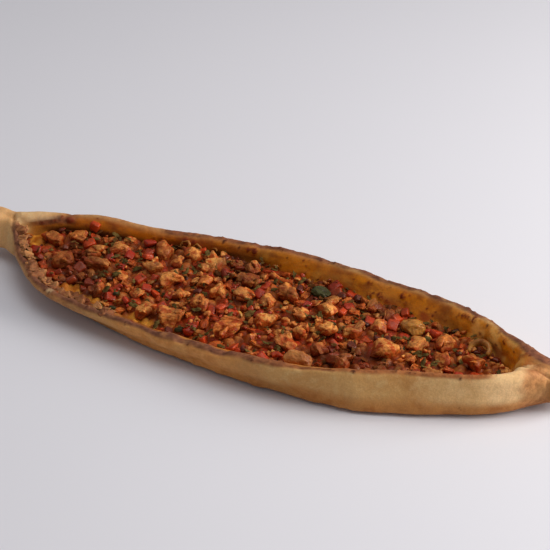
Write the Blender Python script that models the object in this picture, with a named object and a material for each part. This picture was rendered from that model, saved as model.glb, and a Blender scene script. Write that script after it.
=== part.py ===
"""A Turkish pide: a long boat of baked dough, pinched to a nub at each end, around a chopped chicken filling.

Lengths in the tables below are centimetres and become metres through CM when a mesh is made.
X runs along the boat, -Y is the side with the low, slumped rim and +Z is up.
The origin is the centre of the base of the whole pide.
"""
import math
import random

import bmesh
import bpy
from mathutils import Euler, Matrix, Vector, noise
from mathutils.bvhtree import BVHTree

CM = 0.01

# Overall length of the boat, where each end of the hollow runs from shut to open, and the pinched necks.
LEFT_END = -21.2
RIGHT_END = 21.4
LEFT_TIP = (-18.2, -17.0)
RIGHT_TIP = (18.3, 17.0)
LEFT_NECK = -18.9
RIGHT_NECK = 20.1
TAIL = (15.0, 19.0)

# Dough: thickness under the filling, wall thickness at its foot, round corners, depth of the pressed seam.
FLOOR = 0.7
WALL = 1.0
HEEL = 0.9
HEEL_SHARE = 0.3
BELLY_HEIGHT = 0.6
BULGE = 0.06
FAR_BULGE = 0.12
LIP = 0.32
RIM_SHARE = 0.42
RIM_TOP = 0.45
FOOT_STEP = 0.15
FOOT_ROUND = 0.2
RUN_OUT = 0.7
SEAM = 0.32
TAIL_SPREAD = 0.5

# Crest of the low rim: along, across, height.
NEAR_CREST = (
    (-21.2, -0.55, 2.90),
    (-20.0, -0.80, 3.10),
    (-18.9, -0.80, 2.95),
    (-18.1, -1.15, 2.90),
    (-17.3, -2.00, 2.70),
    (-15.5, -3.80, 2.30),
    (-12.9, -5.50, 2.10),
    (-7.7, -6.45, 2.00),
    (-1.6, -7.00, 2.05),
    (4.1, -7.25, 2.45),
    (8.9, -6.45, 2.90),
    (13.3, -4.65, 2.90),
    (17.2, -3.30, 3.00),
    (18.8, -2.15, 2.85),
    (19.9, -1.10, 2.45),
    (20.6, -0.90, 2.40),
    (21.4, -0.55, 2.05),
)

# Crest of the standing rim behind it: along, across, height.
FAR_CREST = (
    (-21.2, 0.50, 2.90),
    (-20.0, 0.75, 3.15),
    (-18.7, 0.85, 3.10),
    (-17.2, 1.40, 3.20),
    (-15.2, 2.40, 3.00),
    (-13.2, 2.95, 3.10),
    (-11.4, 3.35, 2.85),
    (-9.2, 3.80, 2.70),
    (-3.6, 4.85, 2.65),
    (1.5, 5.10, 2.85),
    (6.5, 4.75, 2.75),
    (11.5, 3.95, 2.90),
    (15.0, 2.70, 3.05),
    (17.6, 1.15, 3.25),
    (19.4, 0.60, 2.98),
    (20.4, 0.75, 2.50),
    (21.4, 0.50, 2.05),
)

# Widest line of the low wall just above the table, and how far the ends curl up off it.
NEAR_BASE = (
    (-21.2, -0.90),
    (-20.0, -1.25),
    (-18.9, -1.15),
    (-17.3, -1.65),
    (-14.4, -3.40),
    (-8.6, -5.20),
    (-2.0, -6.30),
    (4.0, -6.60),
    (9.0, -6.40),
    (13.0, -5.15),
    (18.0, -2.80),
    (20.05, -1.20),
    (20.7, -1.30),
    (21.4, -0.90),
)
LIFT = (
    (-21.2, 0.75),
    (-19.5, 0.60),
    (-16.0, 0.20),
    (-12.5, 0.0),
    (15.5, 0.0),
    (19.3, 0.15),
    (20.3, 0.38),
    (21.4, 0.48),
)

# Width of each rim's top, and how far the standing wall's inner face runs out towards the filling.
NEAR_RIM = (
    (-19.0, 0.90),
    (-16.5, 1.35),
    (-12.5, 1.30),
    (-8.0, 1.05),
    (1.5, 1.00),
    (6.5, 0.70),
    (12.0, 0.60),
    (18.0, 0.80),
)
# On the left the low rim's top is near its outer edge and slopes in like a ledge: share of its width, drop.
NEAR_RIM_TOP = ((-18.0, 0.42), (-15.5, 0.26), (-6.0, 0.28), (3.0, 0.42))
NEAR_LIP = ((-18.0, 0.32), (-15.5, 0.44), (-6.0, 0.42), (3.0, 0.32))
FAR_RIM = ((-18.5, 0.95), (-13.0, 0.80), (0.0, 0.75), (13.0, 0.75), (18.5, 0.90))
FAR_SLOPE = ((-16.0, 0.30), (-4.0, 0.45), (4.0, 0.95), (10.0, 1.05), (13.5, 0.60), (17.0, 0.30))

# Rings of the dough loft: start, stop and number of steps of each stretch. Steps between main points.
STRETCHES = ((-20.1, -16.2, 12), (-16.2, 16.2, 25), (16.2, 20.4, 13))
CAP_STEPS = 4
STEPS = (2, 1, 1, 2, 2, 1, 1, 1, 2, 1, 1, 1, 2, 2, 1, 1, 2, 2)
HOLLOW_FIRST = sum(STEPS[:5])
HOLLOW_LAST = sum(STEPS[:12])

# Unevenness of hand-shaped dough, depth of the necks and of the grooves wound round the nubs.
DOUGH_BUMP = 0.10
DOUGH_BUMP_SCALE = 0.45
NECK_DEPTH = 0.08
NECK_WIDTH = 0.35
GROOVE_DEPTH = 0.07
GROOVE_WINDING = 2.2

# Filling: level at its edge, crown in the middle, unevenness, and how it banks up against the standing wall.
LEVEL = 1.62
CROWN = 0.22
FILL_BUMP = 0.26
FILL_BUMP_SCALE = 0.62
BANK = 0.22
BANK_SIDE = (0.45, 0.95)
BANK_END = (1.0, 6.0)

# Clearance of the filling to the dough and to each chunk, and the sampling of the filling's own rings.
FILL_CLEARANCE = 0.055
CHUNK_CLEARANCE = 0.045
LEAST_DEPTH = 0.30
CHAIN_POINTS = 9
TOP_POINTS = 8

# Chunks that stand out: along, across, length, width, turn in degrees.
BIG_CHUNKS = (
    (9.9, -2.0, 2.1, 1.7, 20),
    (0.1, -4.0, 2.4, 1.5, 75),
    (-3.7, -4.6, 1.8, 1.4, 10),
    (4.1, -3.9, 1.9, 1.5, -30),
    (-5.7, -0.9, 1.8, 1.4, 35),
    (-11.2, -1.2, 1.9, 1.3, 5),
    (4.9, 0.6, 1.6, 1.4, -15),
    (-3.9, 1.9, 1.6, 1.3, 40),
    (-7.4, -0.2, 1.4, 1.2, -20),
    (7.2, -0.9, 1.4, 1.2, 60),
    (8.5, 0.1, 1.3, 1.1, 15),
    (7.9, -4.3, 1.5, 1.3, 0),
    (-10.5, 0.9, 1.5, 1.1, 25),
    (-15.3, 0.0, 1.4, 1.1, -10),
    (-9.6, -3.8, 1.4, 1.2, -40),
    (-2.6, -2.6, 1.4, 1.2, 80),
    (-0.6, -0.3, 1.4, 1.2, -5),
    (11.5, -0.5, 1.4, 1.1, 50),
    (2.0, -2.5, 1.5, 1.2, 30),
    (3.5, -0.8, 1.3, 1.1, 0),
    (-5.6, -4.6, 1.3, 1.1, 65),
    (-1.6, 2.7, 1.3, 1.0, -25),
    (13.4, -1.2, 1.4, 1.1, -35),
)
CHUNK_COUNT = 44
CHUNK_LENGTH = (1.15, 1.65)
CHUNK_RATIO = (0.72, 0.92)
CHUNK_HEIGHT = 0.82
CHUNK_BLOCKINESS = 0.74
CHUNK_ROUGHNESS = 0.17
CHUNK_TILT = 16.0
CHUNK_RISE = 0.06
SLICE_RISE = 0.12
DOME_RISE = 0.25
STREWN_ALONG = (-16.4, 16.9)
STREWN_ACROSS = (0.06, 0.94)
TRIES = 4000
SHRINK = 0.95
SHRINK_STEPS = 9
SEED = 11

# Slices that are not chicken: along, across, length, width, height, turn in degrees.
GREEN_PEPPER = (3.6, 2.2, 1.5, 1.0, 0.55, 15)
YELLOW_PEPPER = (10.4, 1.3, 1.7, 1.3, 0.95, -10)
SMOOTH_DOME = (5.6, -5.35, 1.9, 1.1, 1.25, 5)
RING_PLACE = (15.1, 0.55)
RING_RADIUS = 0.62
RING_THICKNESS = 0.17
RING_SPAN = (-20.0, 200.0)
RING_RISE = 0.15
RING_TILT = (28.0, -6.0)
RING_STEPS = 12
RING_SIDES = 7

# Colour, roughness of each material.
LOOKS = {
    "crust": ((0.55, 0.33, 0.15), 0.6),
    "filling": ((0.30, 0.07, 0.02), 0.35),
    "chicken": ((0.62, 0.28, 0.09), 0.45),
    "green_pepper": ((0.06, 0.10, 0.02), 0.35),
    "yellow_pepper": ((0.52, 0.36, 0.08), 0.35),
}


def blend(table, x, column=1):
    """Value of a table's column at x, on a smooth curve that never overshoots its knots."""
    if x <= table[0][0]:
        return table[0][column]
    if x >= table[-1][0]:
        return table[-1][column]
    last = len(table) - 1
    i = max(k for k in range(last) if table[k][0] <= x)

    def grade(k):
        return (table[k + 1][column] - table[k][column]) / (table[k + 1][0] - table[k][0])

    def slope(k):
        if k == 0 or k == last:
            return grade(min(k, last - 1))
        before = grade(k - 1)
        after = grade(k)
        return 0.0 if before * after <= 0 else 2 * before * after / (before + after)

    width = table[i + 1][0] - table[i][0]
    t = (x - table[i][0]) / width
    rise = t * t * (3 - 2 * t)
    bend = width * (slope(i) * t * (1 - t) ** 2 - slope(i + 1) * t * t * (1 - t))
    return table[i][column] + rise * (table[i + 1][column] - table[i][column]) + bend


def ease(x, start, stop):
    """0 at start, 1 at stop and smooth between."""
    t = min(1.0, max(0.0, (x - start) / (stop - start)))
    return t * t * (3 - 2 * t)


def mix(a, b, t):
    return a + (b - a) * t


def openness(x):
    """1 where the boat is open, 0 where its two sides are pressed together."""
    return ease(x, *LEFT_TIP) * ease(x, *RIGHT_TIP)


def is_tail(x):
    return ease(abs(x), *TAIL)


def section_keys(x):
    """The cross-section's main points (across, height), once round: base, low wall, floor, standing wall."""
    near = blend(NEAR_CREST, x)
    far = blend(FAR_CREST, x)
    near_top = blend(NEAR_CREST, x, 2)
    far_top = blend(FAR_CREST, x, 2)
    near_base = blend(NEAR_BASE, x)
    far_base = far + TAIL_SPREAD * is_tail(x)
    base = blend(LIFT, x)
    belly = base + BELLY_HEIGHT
    heel = min(HEEL, HEEL_SHARE * (far_base - near_base))
    near_in = near + min(blend(NEAR_RIM, x), RIM_SHARE * (far - near))
    far_in = far - min(blend(FAR_RIM, x), RIM_SHARE * (far - near))
    near_foot = max(near_base + WALL, near_in + FOOT_STEP)
    far_foot = far_in - blend(FAR_SLOPE, x)
    if far_foot - near_foot < 2 * FOOT_STEP:
        middle = 0.5 * (near_foot + far_foot)
        near_foot = middle - FOOT_STEP
        far_foot = middle + FOOT_STEP
    run_out = min(RUN_OUT, HEEL_SHARE * (far_foot - near_foot))
    floor = base + FLOOR
    shut = 1 - openness(x)

    def inner(across, height):
        """A point of the hollow, drawn up to the pressed seam where the boat is shut."""
        side = (across - near_in) / (far_in - near_in)
        seam = SEAM * math.sin(math.pi * min(1.0, max(0.0, side))) * (1 - 0.6 * ease(abs(x), 19.0, 21.0))
        pressed = mix(near_top, far_top, side) - seam
        return (across, mix(height, pressed, shut))

    return [
        (near_base + heel, base),
        (near_base, belly),
        (mix(near_base, near, 0.7) - BULGE, mix(belly, near_top, 0.45)),
        (near, near_top - LIP),
        (mix(near, near_in, blend(NEAR_RIM_TOP, x)), near_top),
        inner(near_in, near_top - blend(NEAR_LIP, x)),
        inner(mix(near_in, near_foot, 0.45), mix(near_top - LIP, floor, 0.5)),
        inner(near_foot, floor + FOOT_ROUND),
        inner(near_foot + run_out, floor),
        inner(far_foot - run_out, floor),
        inner(far_foot, floor + FOOT_ROUND),
        inner(mix(far_in, far_foot, 0.4), mix(far_top - LIP, floor, 0.5)),
        inner(far_in, far_top - LIP),
        (mix(far, far_in, RIM_TOP), far_top),
        (far, far_top - LIP),
        (mix(far_base, far, 0.5) + FAR_BULGE, mix(belly, far_top, 0.5)),
        (far_base, belly),
        (far_base - heel, base),
    ]


def section(x):
    """The section as a closed smooth curve through its main points; its base stays flat."""
    keys = section_keys(x)
    count = len(keys)
    base = blend(LIFT, x)
    ring = []
    for i, steps in enumerate(STEPS):
        a, b, c, d = (Vector(keys[(i + k) % count]) for k in (-1, 0, 1, 2))
        for s in range(steps):
            t = s / steps
            point = 0.5 * (2 * b + (c - a) * t + (2 * a - 5 * b + 4 * c - d) * t * t
                           + (3 * b - a - 3 * c + d) * t ** 3)
            ring.append((point.x, max(base, point.y)))
    return ring


def rings():
    """(x, ring) along the boat: full sections, then shrinking ones that round off each nub."""
    places = []
    for start, stop, steps in STRETCHES:
        places += [mix(start, stop, s / steps) for s in range(steps)]
    places.append(STRETCHES[-1][1])
    placed = [(x, section(x)) for x in places]

    def cap(last, tip):
        shape = section(last)
        middle = (sum(p[0] for p in shape) / len(shape), 0.5 * (max(p[1] for p in shape) + blend(LIFT, last)))
        for s in range(1, CAP_STEPS + 1):
            angle = 0.5 * math.pi * s / (CAP_STEPS + 0.6)
            size = math.cos(angle)
            yield (mix(last, tip, math.sin(angle)),
                   [(mix(middle[0], y, size), mix(middle[1], z, size)) for y, z in shape])

    left = list(cap(places[0], LEFT_END))
    right = list(cap(places[-1], RIGHT_END))
    return left[::-1] + placed + right


def uneven(x, y, z, base):
    """Slow swells of hand-shaped dough; none on the flat base."""
    fade = min(1.0, max(0.0, (z - base - 0.05) / 0.5))
    place = Vector((x, y, z)) * DOUGH_BUMP_SCALE
    return Vector((0.4 * noise.noise(place), noise.noise(place + Vector((9, 0, 0))),
                   0.7 * noise.noise(place + Vector((0, 9, 0))))) * DOUGH_BUMP * fade


def twist_folds(x, y, z, axis):
    """Shallow grooves winding round the nub past each neck, where the dough was twisted shut."""
    past = ease(LEFT_NECK - x, -0.5, 0.4) + ease(x - RIGHT_NECK, -0.5, 0.4)
    neck = sum(math.exp(-((x - place) / NECK_WIDTH) ** 2) for place in (LEFT_NECK, RIGHT_NECK))
    out = Vector((0, y - axis[0], z - axis[1]))
    angle = math.atan2(out.z, out.y)
    groove = 0.5 + 0.5 * math.cos(2 * angle + GROOVE_WINDING * x)
    return -out * (NECK_DEPTH * neck + GROOVE_DEPTH * past * groove ** 3)


def loft(name, chains, material):
    """A closed body through rings of equal length, with a point at each end."""
    mesh = bmesh.new()
    rows = [[mesh.verts.new(Vector(p) * CM) for p in chain] for chain in chains]
    for one, two in zip(rows, rows[1:]):
        for i in range(len(one)):
            j = (i + 1) % len(one)
            mesh.faces.new((one[i], one[j], two[j], two[i]))
    for row in (rows[0], rows[-1]):
        middle = mesh.verts.new(sum((v.co for v in row), Vector()) / len(row))
        for i in range(len(row)):
            mesh.faces.new((row[i], row[(i + 1) % len(row)], middle))
    bmesh.ops.recalc_face_normals(mesh, faces=mesh.faces)
    bmesh.ops.triangulate(mesh, faces=mesh.faces)
    return add_object(name, mesh, material)


def add_object(name, mesh, material):
    """A mesh object in the pide's collection."""
    data = bpy.data.meshes.new(name)
    mesh.to_mesh(data)
    mesh.free()
    data.shade_smooth()
    data.set_sharp_from_angle(angle=math.radians(40))
    made = bpy.data.objects.new(name, data)
    if material:
        data.materials.append(material)
        pide.objects.link(made)
    return made


def crust_chains():
    chains = []
    for x, ring in rings():
        base = min(z for y, z in ring)
        middle = (0.5 * (min(y for y, z in ring) + max(y for y, z in ring)), base + 1.3)
        chain = []
        for y, z in ring:
            point = Vector((x, y, z))
            point += uneven(x, y, z, base)
            if z > base + 0.02:
                point += twist_folds(x, y, z, middle)
            chain.append(point)
        chains.append(chain)
    return chains


def level(x, y, near, far):
    """Height of the filling, which crowns a little between its two edges."""
    side = (y - near) / (far - near)
    crown = CROWN * 4 * side * (1 - side)
    bump = FILL_BUMP * noise.noise(Vector((x, y, 4.0)) * FILL_BUMP_SCALE)
    bank = BANK * ease(side, *BANK_SIDE) * (1 - ease(x, *BANK_END))
    fade = min(1.0, 4 * min(side, 1 - side))
    return LEVEL + crown + bank + bump * max(0.0, fade)


def inset_hollow(chain):
    """The hollow's part of a dough ring, moved in by the clearance, from the low rim to the standing one."""
    hollow = chain[HOLLOW_FIRST:HOLLOW_LAST + 1]
    moved = []
    for i in range(len(hollow)):
        before = hollow[max(0, i - 1)]
        after = hollow[min(len(hollow) - 1, i + 1)]
        along = Vector((0, after.y - before.y, after.z - before.z)).normalized()
        moved.append(hollow[i] + Vector((0, -along.z, along.y)) * FILL_CLEARANCE)
    return moved


def clip(chain, first_height, last_height):
    """The part of a chain below two heights, one for each of its ends, cut exactly there."""
    lowest = min(range(len(chain)), key=lambda k: chain[k].z)

    def cut(order, height):
        part = []
        for i, k in enumerate(order):
            if chain[k].z > height:
                last = chain[order[i - 1]]
                part.append(last.lerp(chain[k], (height - last.z) / (chain[k].z - last.z)))
                break
            part.append(chain[k])
        return part

    down = cut(list(range(lowest, -1, -1)), first_height)
    up = cut(list(range(lowest, len(chain))), last_height)
    return down[::-1] + up[1:]


def resample(chain, count):
    """Points at equal spacing along a chain, ends included."""
    lengths = [0.0]
    for a, b in zip(chain, chain[1:]):
        lengths.append(lengths[-1] + (b - a).length)
    points = []
    k = 0
    for i in range(count):
        want = lengths[-1] * i / (count - 1)
        while k < len(chain) - 2 and lengths[k + 1] < want:
            k += 1
        step = lengths[k + 1] - lengths[k]
        points.append(chain[k].lerp(chain[k + 1], (want - lengths[k]) / step))
    return points


def filling_chains(dough):
    """Closed rings of the filling: up against the hollow below, uneven on top. Also its edges along x."""
    chains = []
    edges = []
    for chain in dough:
        if not LEFT_TIP[0] < chain[0].x < RIGHT_TIP[0]:
            continue
        hollow = inset_hollow(chain)
        if min(p.z for p in hollow) > LEVEL - LEAST_DEPTH:
            continue
        under = clip(hollow, LEVEL, level(chain[0].x, 1.0, 0.0, 1.0))
        near = under[0]
        far = under[-1]
        lower = resample(under, CHAIN_POINTS)
        upper = []
        for i in range(1, TOP_POINTS):
            y = mix(far.y, near.y, i / TOP_POINTS)
            x = mix(far.x, near.x, i / TOP_POINTS)
            upper.append(Vector((x, y, level(x, y, near.y, far.y))))
        chains.append(lower + upper)
        edges.append((near.x, near.y, far.y))
    return chains, edges


def surface(edges, x, y):
    return level(x, y, blend(edges, x, 1), blend(edges, x, 2))


def lump(size, seed, blocky, rough, grow=0.0):
    """A knife-cut bit: a block rounded towards a ball of three half sizes, with its own dents."""
    mesh = bmesh.new()
    bmesh.ops.create_cube(mesh, size=2.0)
    bmesh.ops.subdivide_edges(mesh, edges=mesh.edges, cuts=1, use_grid_fill=True)
    for vertex in mesh.verts:
        way = vertex.co.normalized()
        squared = Vector([math.copysign(abs(c) ** blocky, c) for c in way])
        dent = 1 + rough * noise.noise(way * 1.6 + Vector((seed * 3.1, seed * 1.7, 0)))
        vertex.co = Vector([c * half * dent * CM for c, half in zip(squared, size)])
    bmesh.ops.triangulate(mesh, faces=mesh.faces, quad_method='FIXED')
    mesh.normal_update()
    for vertex in mesh.verts:
        vertex.co += vertex.normal * grow * CM
    return mesh


def arc_strip(grow=0.0):
    """Part of a ring cut from a pepper: an arc of oval section, thinner towards its ends."""
    mesh = bmesh.new()
    rows = []
    for s in range(RING_STEPS + 1):
        t = s / RING_STEPS
        angle = math.radians(mix(*RING_SPAN, t))
        out = Vector((math.cos(angle), math.sin(angle), 0))
        half = RING_THICKNESS * (0.45 + 0.55 * math.sqrt(math.sin(math.pi * mix(0.06, 0.94, t)))) + grow
        row = []
        for k in range(RING_SIDES):
            turn = 2 * math.pi * k / RING_SIDES
            rise = Vector((0, 0, 1.5 * half * math.sin(turn)))
            row.append(mesh.verts.new((out * (RING_RADIUS + half * math.cos(turn)) + rise) * CM))
        rows.append(row)
    for one, two in zip(rows, rows[1:]):
        for k in range(RING_SIDES):
            j = (k + 1) % RING_SIDES
            mesh.faces.new((one[k], one[j], two[j], two[k]))
    mesh.faces.new(rows[0])
    mesh.faces.new(rows[-1])
    bmesh.ops.recalc_face_normals(mesh, faces=mesh.faces)
    bmesh.ops.triangulate(mesh, faces=mesh.faces)
    return mesh


def tree_of(mesh, matrix):
    """A search tree of a mesh put in its place; the mesh is used up."""
    mesh.transform(matrix)
    tree = BVHTree.FromBMesh(mesh)
    mesh.free()
    return tree


def place_matrix(x, y, z, turn, tilt, roll):
    spin = Euler((math.radians(tilt), math.radians(roll), math.radians(turn))).to_matrix().to_4x4()
    return Matrix.Translation(Vector((x, y, z)) * CM) @ spin


class Bed:
    """The filling's surface with what already lies in it."""

    def __init__(self, dough_object, edges):
        mesh = bmesh.new()
        mesh.from_mesh(dough_object.data)
        self.taken = [tree_of(mesh, Matrix())]
        self.edges = edges
        self.cutters = []

    def is_free(self, make, matrix):
        """Whether a grown copy of the piece touches nothing yet, and that copy's search tree."""
        tree = tree_of(make(CHUNK_CLEARANCE), matrix)
        return not any(other.overlap(tree) for other in self.taken), tree

    def lay(self, name, make, matrix, material, tree):
        """Adds the piece, and a grown copy of it among the sockets' cutters."""
        self.taken.append(tree)
        made = add_object(name, make(0.0), material)
        made.matrix_world = matrix
        cutter = make(CHUNK_CLEARANCE)
        cutter.transform(matrix)
        self.cutters.append(cutter)


def lay_chicken(bed, number, x, y, length, width, turn, draw, shrink):
    """Beds one chunk; shrinks it until it is clear of its neighbours, or gives up where shrink is False."""
    tilt = draw.uniform(-CHUNK_TILT, CHUNK_TILT)
    roll = draw.uniform(-CHUNK_TILT, CHUNK_TILT)
    for attempt in range(SHRINK_STEPS if shrink else 1):
        size = SHRINK ** attempt
        height = CHUNK_HEIGHT * width * size
        half = (0.5 * length * size, 0.5 * width * size, 0.5 * height)
        z = surface(bed.edges, x, y) + CHUNK_RISE * height
        matrix = place_matrix(x, y, z, turn, tilt, roll)

        def make(grow):
            return lump(half, number, CHUNK_BLOCKINESS, CHUNK_ROUGHNESS, grow)

        free, tree = bed.is_free(make, matrix)
        if free:
            bed.lay("chicken_%02d" % number, make, matrix, materials["chicken"], tree)
            return True
    return False


def lay_slice(bed, name, piece, material, tilt, roll, blocky, rise):
    x, y, length, width, height, turn = piece
    z = surface(bed.edges, x, y) + rise * height
    matrix = place_matrix(x, y, z, turn, tilt, roll)

    def make(grow):
        return lump((0.5 * length, 0.5 * width, 0.5 * height), 5.5, blocky, 0.12, grow)

    bed.lay(name, make, matrix, material, bed.is_free(make, matrix)[1])


def lay_ring(bed):
    x, y = RING_PLACE
    matrix = place_matrix(x, y, surface(bed.edges, x, y) + RING_RISE, 0.0, *RING_TILT)
    bed.lay("pepper_ring", arc_strip, matrix, materials["yellow_pepper"], bed.is_free(arc_strip, matrix)[1])


def lay_toppings(bed):
    """Slices first, then the chunks that stand out, then smaller chunks wherever there is room."""
    lay_slice(bed, "green_pepper", GREEN_PEPPER, materials["green_pepper"], 8, 12, 0.8, SLICE_RISE)
    lay_slice(bed, "yellow_pepper", YELLOW_PEPPER, materials["yellow_pepper"], -12, 5, 0.95, SLICE_RISE)
    lay_slice(bed, "chicken_dome", SMOOTH_DOME, materials["chicken"], 0, 0, 0.95, DOME_RISE)
    lay_ring(bed)
    draw = random.Random(SEED)
    number = 0
    for x, y, length, width, turn in BIG_CHUNKS:
        number += lay_chicken(bed, number + 1, x, y, length, width, turn, draw, True)
    for attempt in range(TRIES):
        if number >= CHUNK_COUNT:
            break
        x = draw.uniform(*STREWN_ALONG)
        near = blend(bed.edges, x, 1)
        far = blend(bed.edges, x, 2)
        y = mix(near, far, draw.uniform(*STREWN_ACROSS))
        length = draw.uniform(*CHUNK_LENGTH)
        width = length * draw.uniform(*CHUNK_RATIO)
        number += lay_chicken(bed, number + 1, x, y, length, width, draw.uniform(0, 180), draw, False)


def cut_sockets(filling, bed):
    """Cuts a socket for each piece, all with one joined cutter."""
    joined = bmesh.new()
    for cutter in bed.cutters:
        data = bpy.data.meshes.new("socket")
        cutter.to_mesh(data)
        cutter.free()
        joined.from_mesh(data)
        bpy.data.meshes.remove(data)
    sockets = add_object("sockets", joined, None)
    cutters.objects.link(sockets)
    sockets.hide_render = True
    sockets.display_type = 'WIRE'
    cut = filling.modifiers.new("sockets", 'BOOLEAN')
    cut.operation = 'DIFFERENCE'
    cut.solver = 'EXACT'
    cut.object = sockets


def centre_on_base():
    """Moves everything so that the origin is the centre of the pide's base."""
    corners = [v.co for v in pide.objects["crust"].data.vertices]
    low = Vector([min(c[i] for c in corners) for i in range(3)])
    high = Vector([max(c[i] for c in corners) for i in range(3)])
    move = Matrix.Translation(-Vector(((low.x + high.x) / 2, (low.y + high.y) / 2, low.z)))
    for made in list(pide.objects) + list(cutters.objects):
        made.matrix_world = move @ made.matrix_world


def make_material(name, look):
    colour, roughness = look
    material = bpy.data.materials.new(name)
    material.use_nodes = True
    shader = material.node_tree.nodes["Principled BSDF"]
    shader.inputs["Base Color"].default_value = (*colour, 1)
    shader.inputs["Roughness"].default_value = roughness
    material.diffuse_color = (*colour, 1)
    return material


def clear_scene():
    for thing in list(bpy.data.objects):
        bpy.data.objects.remove(thing, do_unlink=True)


def new_collection(name):
    made = bpy.data.collections.new(name)
    bpy.context.scene.collection.children.link(made)
    return made


clear_scene()
pide = new_collection("turkish_pide")
cutters = new_collection("cutters")
materials = {name: make_material(name, look) for name, look in LOOKS.items()}

dough = crust_chains()
crust = loft("crust", dough, materials["crust"])
filling_rings, filling_edges = filling_chains(dough)
filling = loft("filling", filling_rings, materials["filling"])
bed = Bed(crust, filling_edges)
lay_toppings(bed)
cut_sockets(filling, bed)
centre_on_base()
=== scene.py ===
"""The looks of a turkish pide: baked dough with browned crests and an oily inside, around chopped chicken,
tomato, peppers, onion and herbs. Lengths are metres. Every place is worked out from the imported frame."""
import math
import random
from collections import namedtuple
from types import SimpleNamespace

import bmesh
import bpy
import numpy as np
from mathutils import Euler, Matrix, Vector, noise
from mathutils.bvhtree import BVHTree


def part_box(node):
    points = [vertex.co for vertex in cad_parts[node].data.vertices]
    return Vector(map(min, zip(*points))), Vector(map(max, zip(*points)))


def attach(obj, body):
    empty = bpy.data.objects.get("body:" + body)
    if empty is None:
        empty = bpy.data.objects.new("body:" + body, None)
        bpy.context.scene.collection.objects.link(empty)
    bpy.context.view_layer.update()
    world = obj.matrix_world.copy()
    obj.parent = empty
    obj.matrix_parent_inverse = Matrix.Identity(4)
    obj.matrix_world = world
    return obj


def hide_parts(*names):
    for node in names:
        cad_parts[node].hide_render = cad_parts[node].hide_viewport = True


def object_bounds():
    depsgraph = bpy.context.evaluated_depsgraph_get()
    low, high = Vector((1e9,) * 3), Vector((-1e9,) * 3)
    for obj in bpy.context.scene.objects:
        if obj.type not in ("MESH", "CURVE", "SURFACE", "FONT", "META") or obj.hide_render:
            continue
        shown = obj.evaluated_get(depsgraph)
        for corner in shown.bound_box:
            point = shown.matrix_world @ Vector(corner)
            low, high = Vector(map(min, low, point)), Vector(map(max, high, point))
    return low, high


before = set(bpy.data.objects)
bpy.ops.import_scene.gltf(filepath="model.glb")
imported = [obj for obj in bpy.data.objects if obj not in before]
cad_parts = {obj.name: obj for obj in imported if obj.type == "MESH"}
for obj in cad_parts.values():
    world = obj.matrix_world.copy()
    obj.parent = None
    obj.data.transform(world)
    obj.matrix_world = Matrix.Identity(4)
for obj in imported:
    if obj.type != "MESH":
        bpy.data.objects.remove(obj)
cad_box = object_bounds()
MM = 0.001
SEED = 5

# Camera: a long lens looking down on the low rim.
AZIMUTH = 26.6
ELEVATION = 32.0
DISTANCE = 1.10
LENS = 109.1
SENSOR = 36.0
AIM = Vector((-0.0040, 0.0441, 0.0150))

# Floor and light. A light has an azimuth, elevation, distance, size, power and colour.
FLOOR_TONES = ((0.685, 0.678, 0.72, 1.0), (0.705, 0.698, 0.74, 1.0))
KEY_LIGHT = (114, 23, 1.25, 0.85, 19.0, (1.0, 0.97, 0.93))
OVERHEAD_LIGHT = (112, 80, 1.6, 1.2, 9.3, (1.0, 1.0, 1.0))
SKY_TONE = (0.96, 0.96, 1.0, 1.0)
SKY_STRENGTH = 0.295

# Fineness of the dough's surface and of the map that toppings are laid on.
DOUGH_VOXEL = 1.3 * MM
DOUGH_SMOOTHING = 12
DOUGH_SWELL = 0.45 * MM
CELL = 0.8 * MM

# How far the core's top and its underside lie below the filling's level.
CORE_DROP = 1.8 * MM
GAP_DROP = 3.0 * MM
CORE_THICKNESS = 5 * MM

# Oily dough left bare: share of the hollow's length, share of its width, half length and half width.
BARE_PATCHES = ((0.020, 0.60, 7 * MM, 9 * MM), (0.170, 0.08, 10 * MM, 7 * MM), (0.225, 0.06, 9 * MM, 6 * MM),
                (0.335, 0.05, 12 * MM, 6 * MM))

# Blisters of the standing wall: share of the hollow's length and depth below the crest.
LARGE_BLISTERS = ((0.700, 9 * MM), (0.757, 5 * MM), (0.880, 3 * MM), (0.903, 4 * MM), (0.985, 5 * MM),
                  (0.060, 2 * MM), (0.300, 5 * MM), (0.430, 3 * MM))
# Small blisters of the wall and of the rims, and burnt specks of the whole crust.
WALL_BLISTERS = 70
RIM_BLISTERS = 110
SPECKS = 60
# Painted light on the wall's inner face: how brightly lit it is painted at stations along the boat.
WALL_GLOW = ((-0.165, 0.0), (-0.14, 0.14), (-0.09, 0.14), (-0.06, 0.08), (-0.025, 0.50), (0.010, 0.50),
             (0.040, 0.20), (0.063, 0.78), (0.088, 0.42), (0.112, 0.56), (0.138, 1.0), (0.165, 1.0),
             (0.175, 0.9), (0.184, 0.1))
# The browned line on the left of the wall: stations along the boat and depths below the crest.
LOW_BROWNING = ((-0.184, -0.160, -0.130), (7.0 * MM, 3.2 * MM, 2.2 * MM))
# Pale flour on the low crest: share of the hollow's length and radius.
FLOUR_SPOT = (0.150, 3.0 * MM)
# Grooves where the rims meet at the two ends: bent line, depth and half width.
END_CREASES = (
    (((0.170, 0.010), (0.176, 0.0035), (0.181, 0.0010), (0.191, 0.0008), (0.197, 0.0022), (0.202, 0.0030)),
     1.7 * MM, 1.7 * MM),
    (((0.1975, 0.002), (0.1995, -0.003), (0.2005, -0.012)), 0.7 * MM, 1.6 * MM),
    (((-0.187, 0.012), (-0.181, 0.001), (-0.175, -0.009), (-0.171, -0.020)), 1.3 * MM, 1.8 * MM))

# Half length from which a chunk is modelled finely, and the torn flakes of dough along the low rim.
BIG_CHUNK = 8.5 * MM
DOUGH_FLAKES = 64
FLAKES_FROM = -0.178
FLAKES_TO = -0.075

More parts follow.
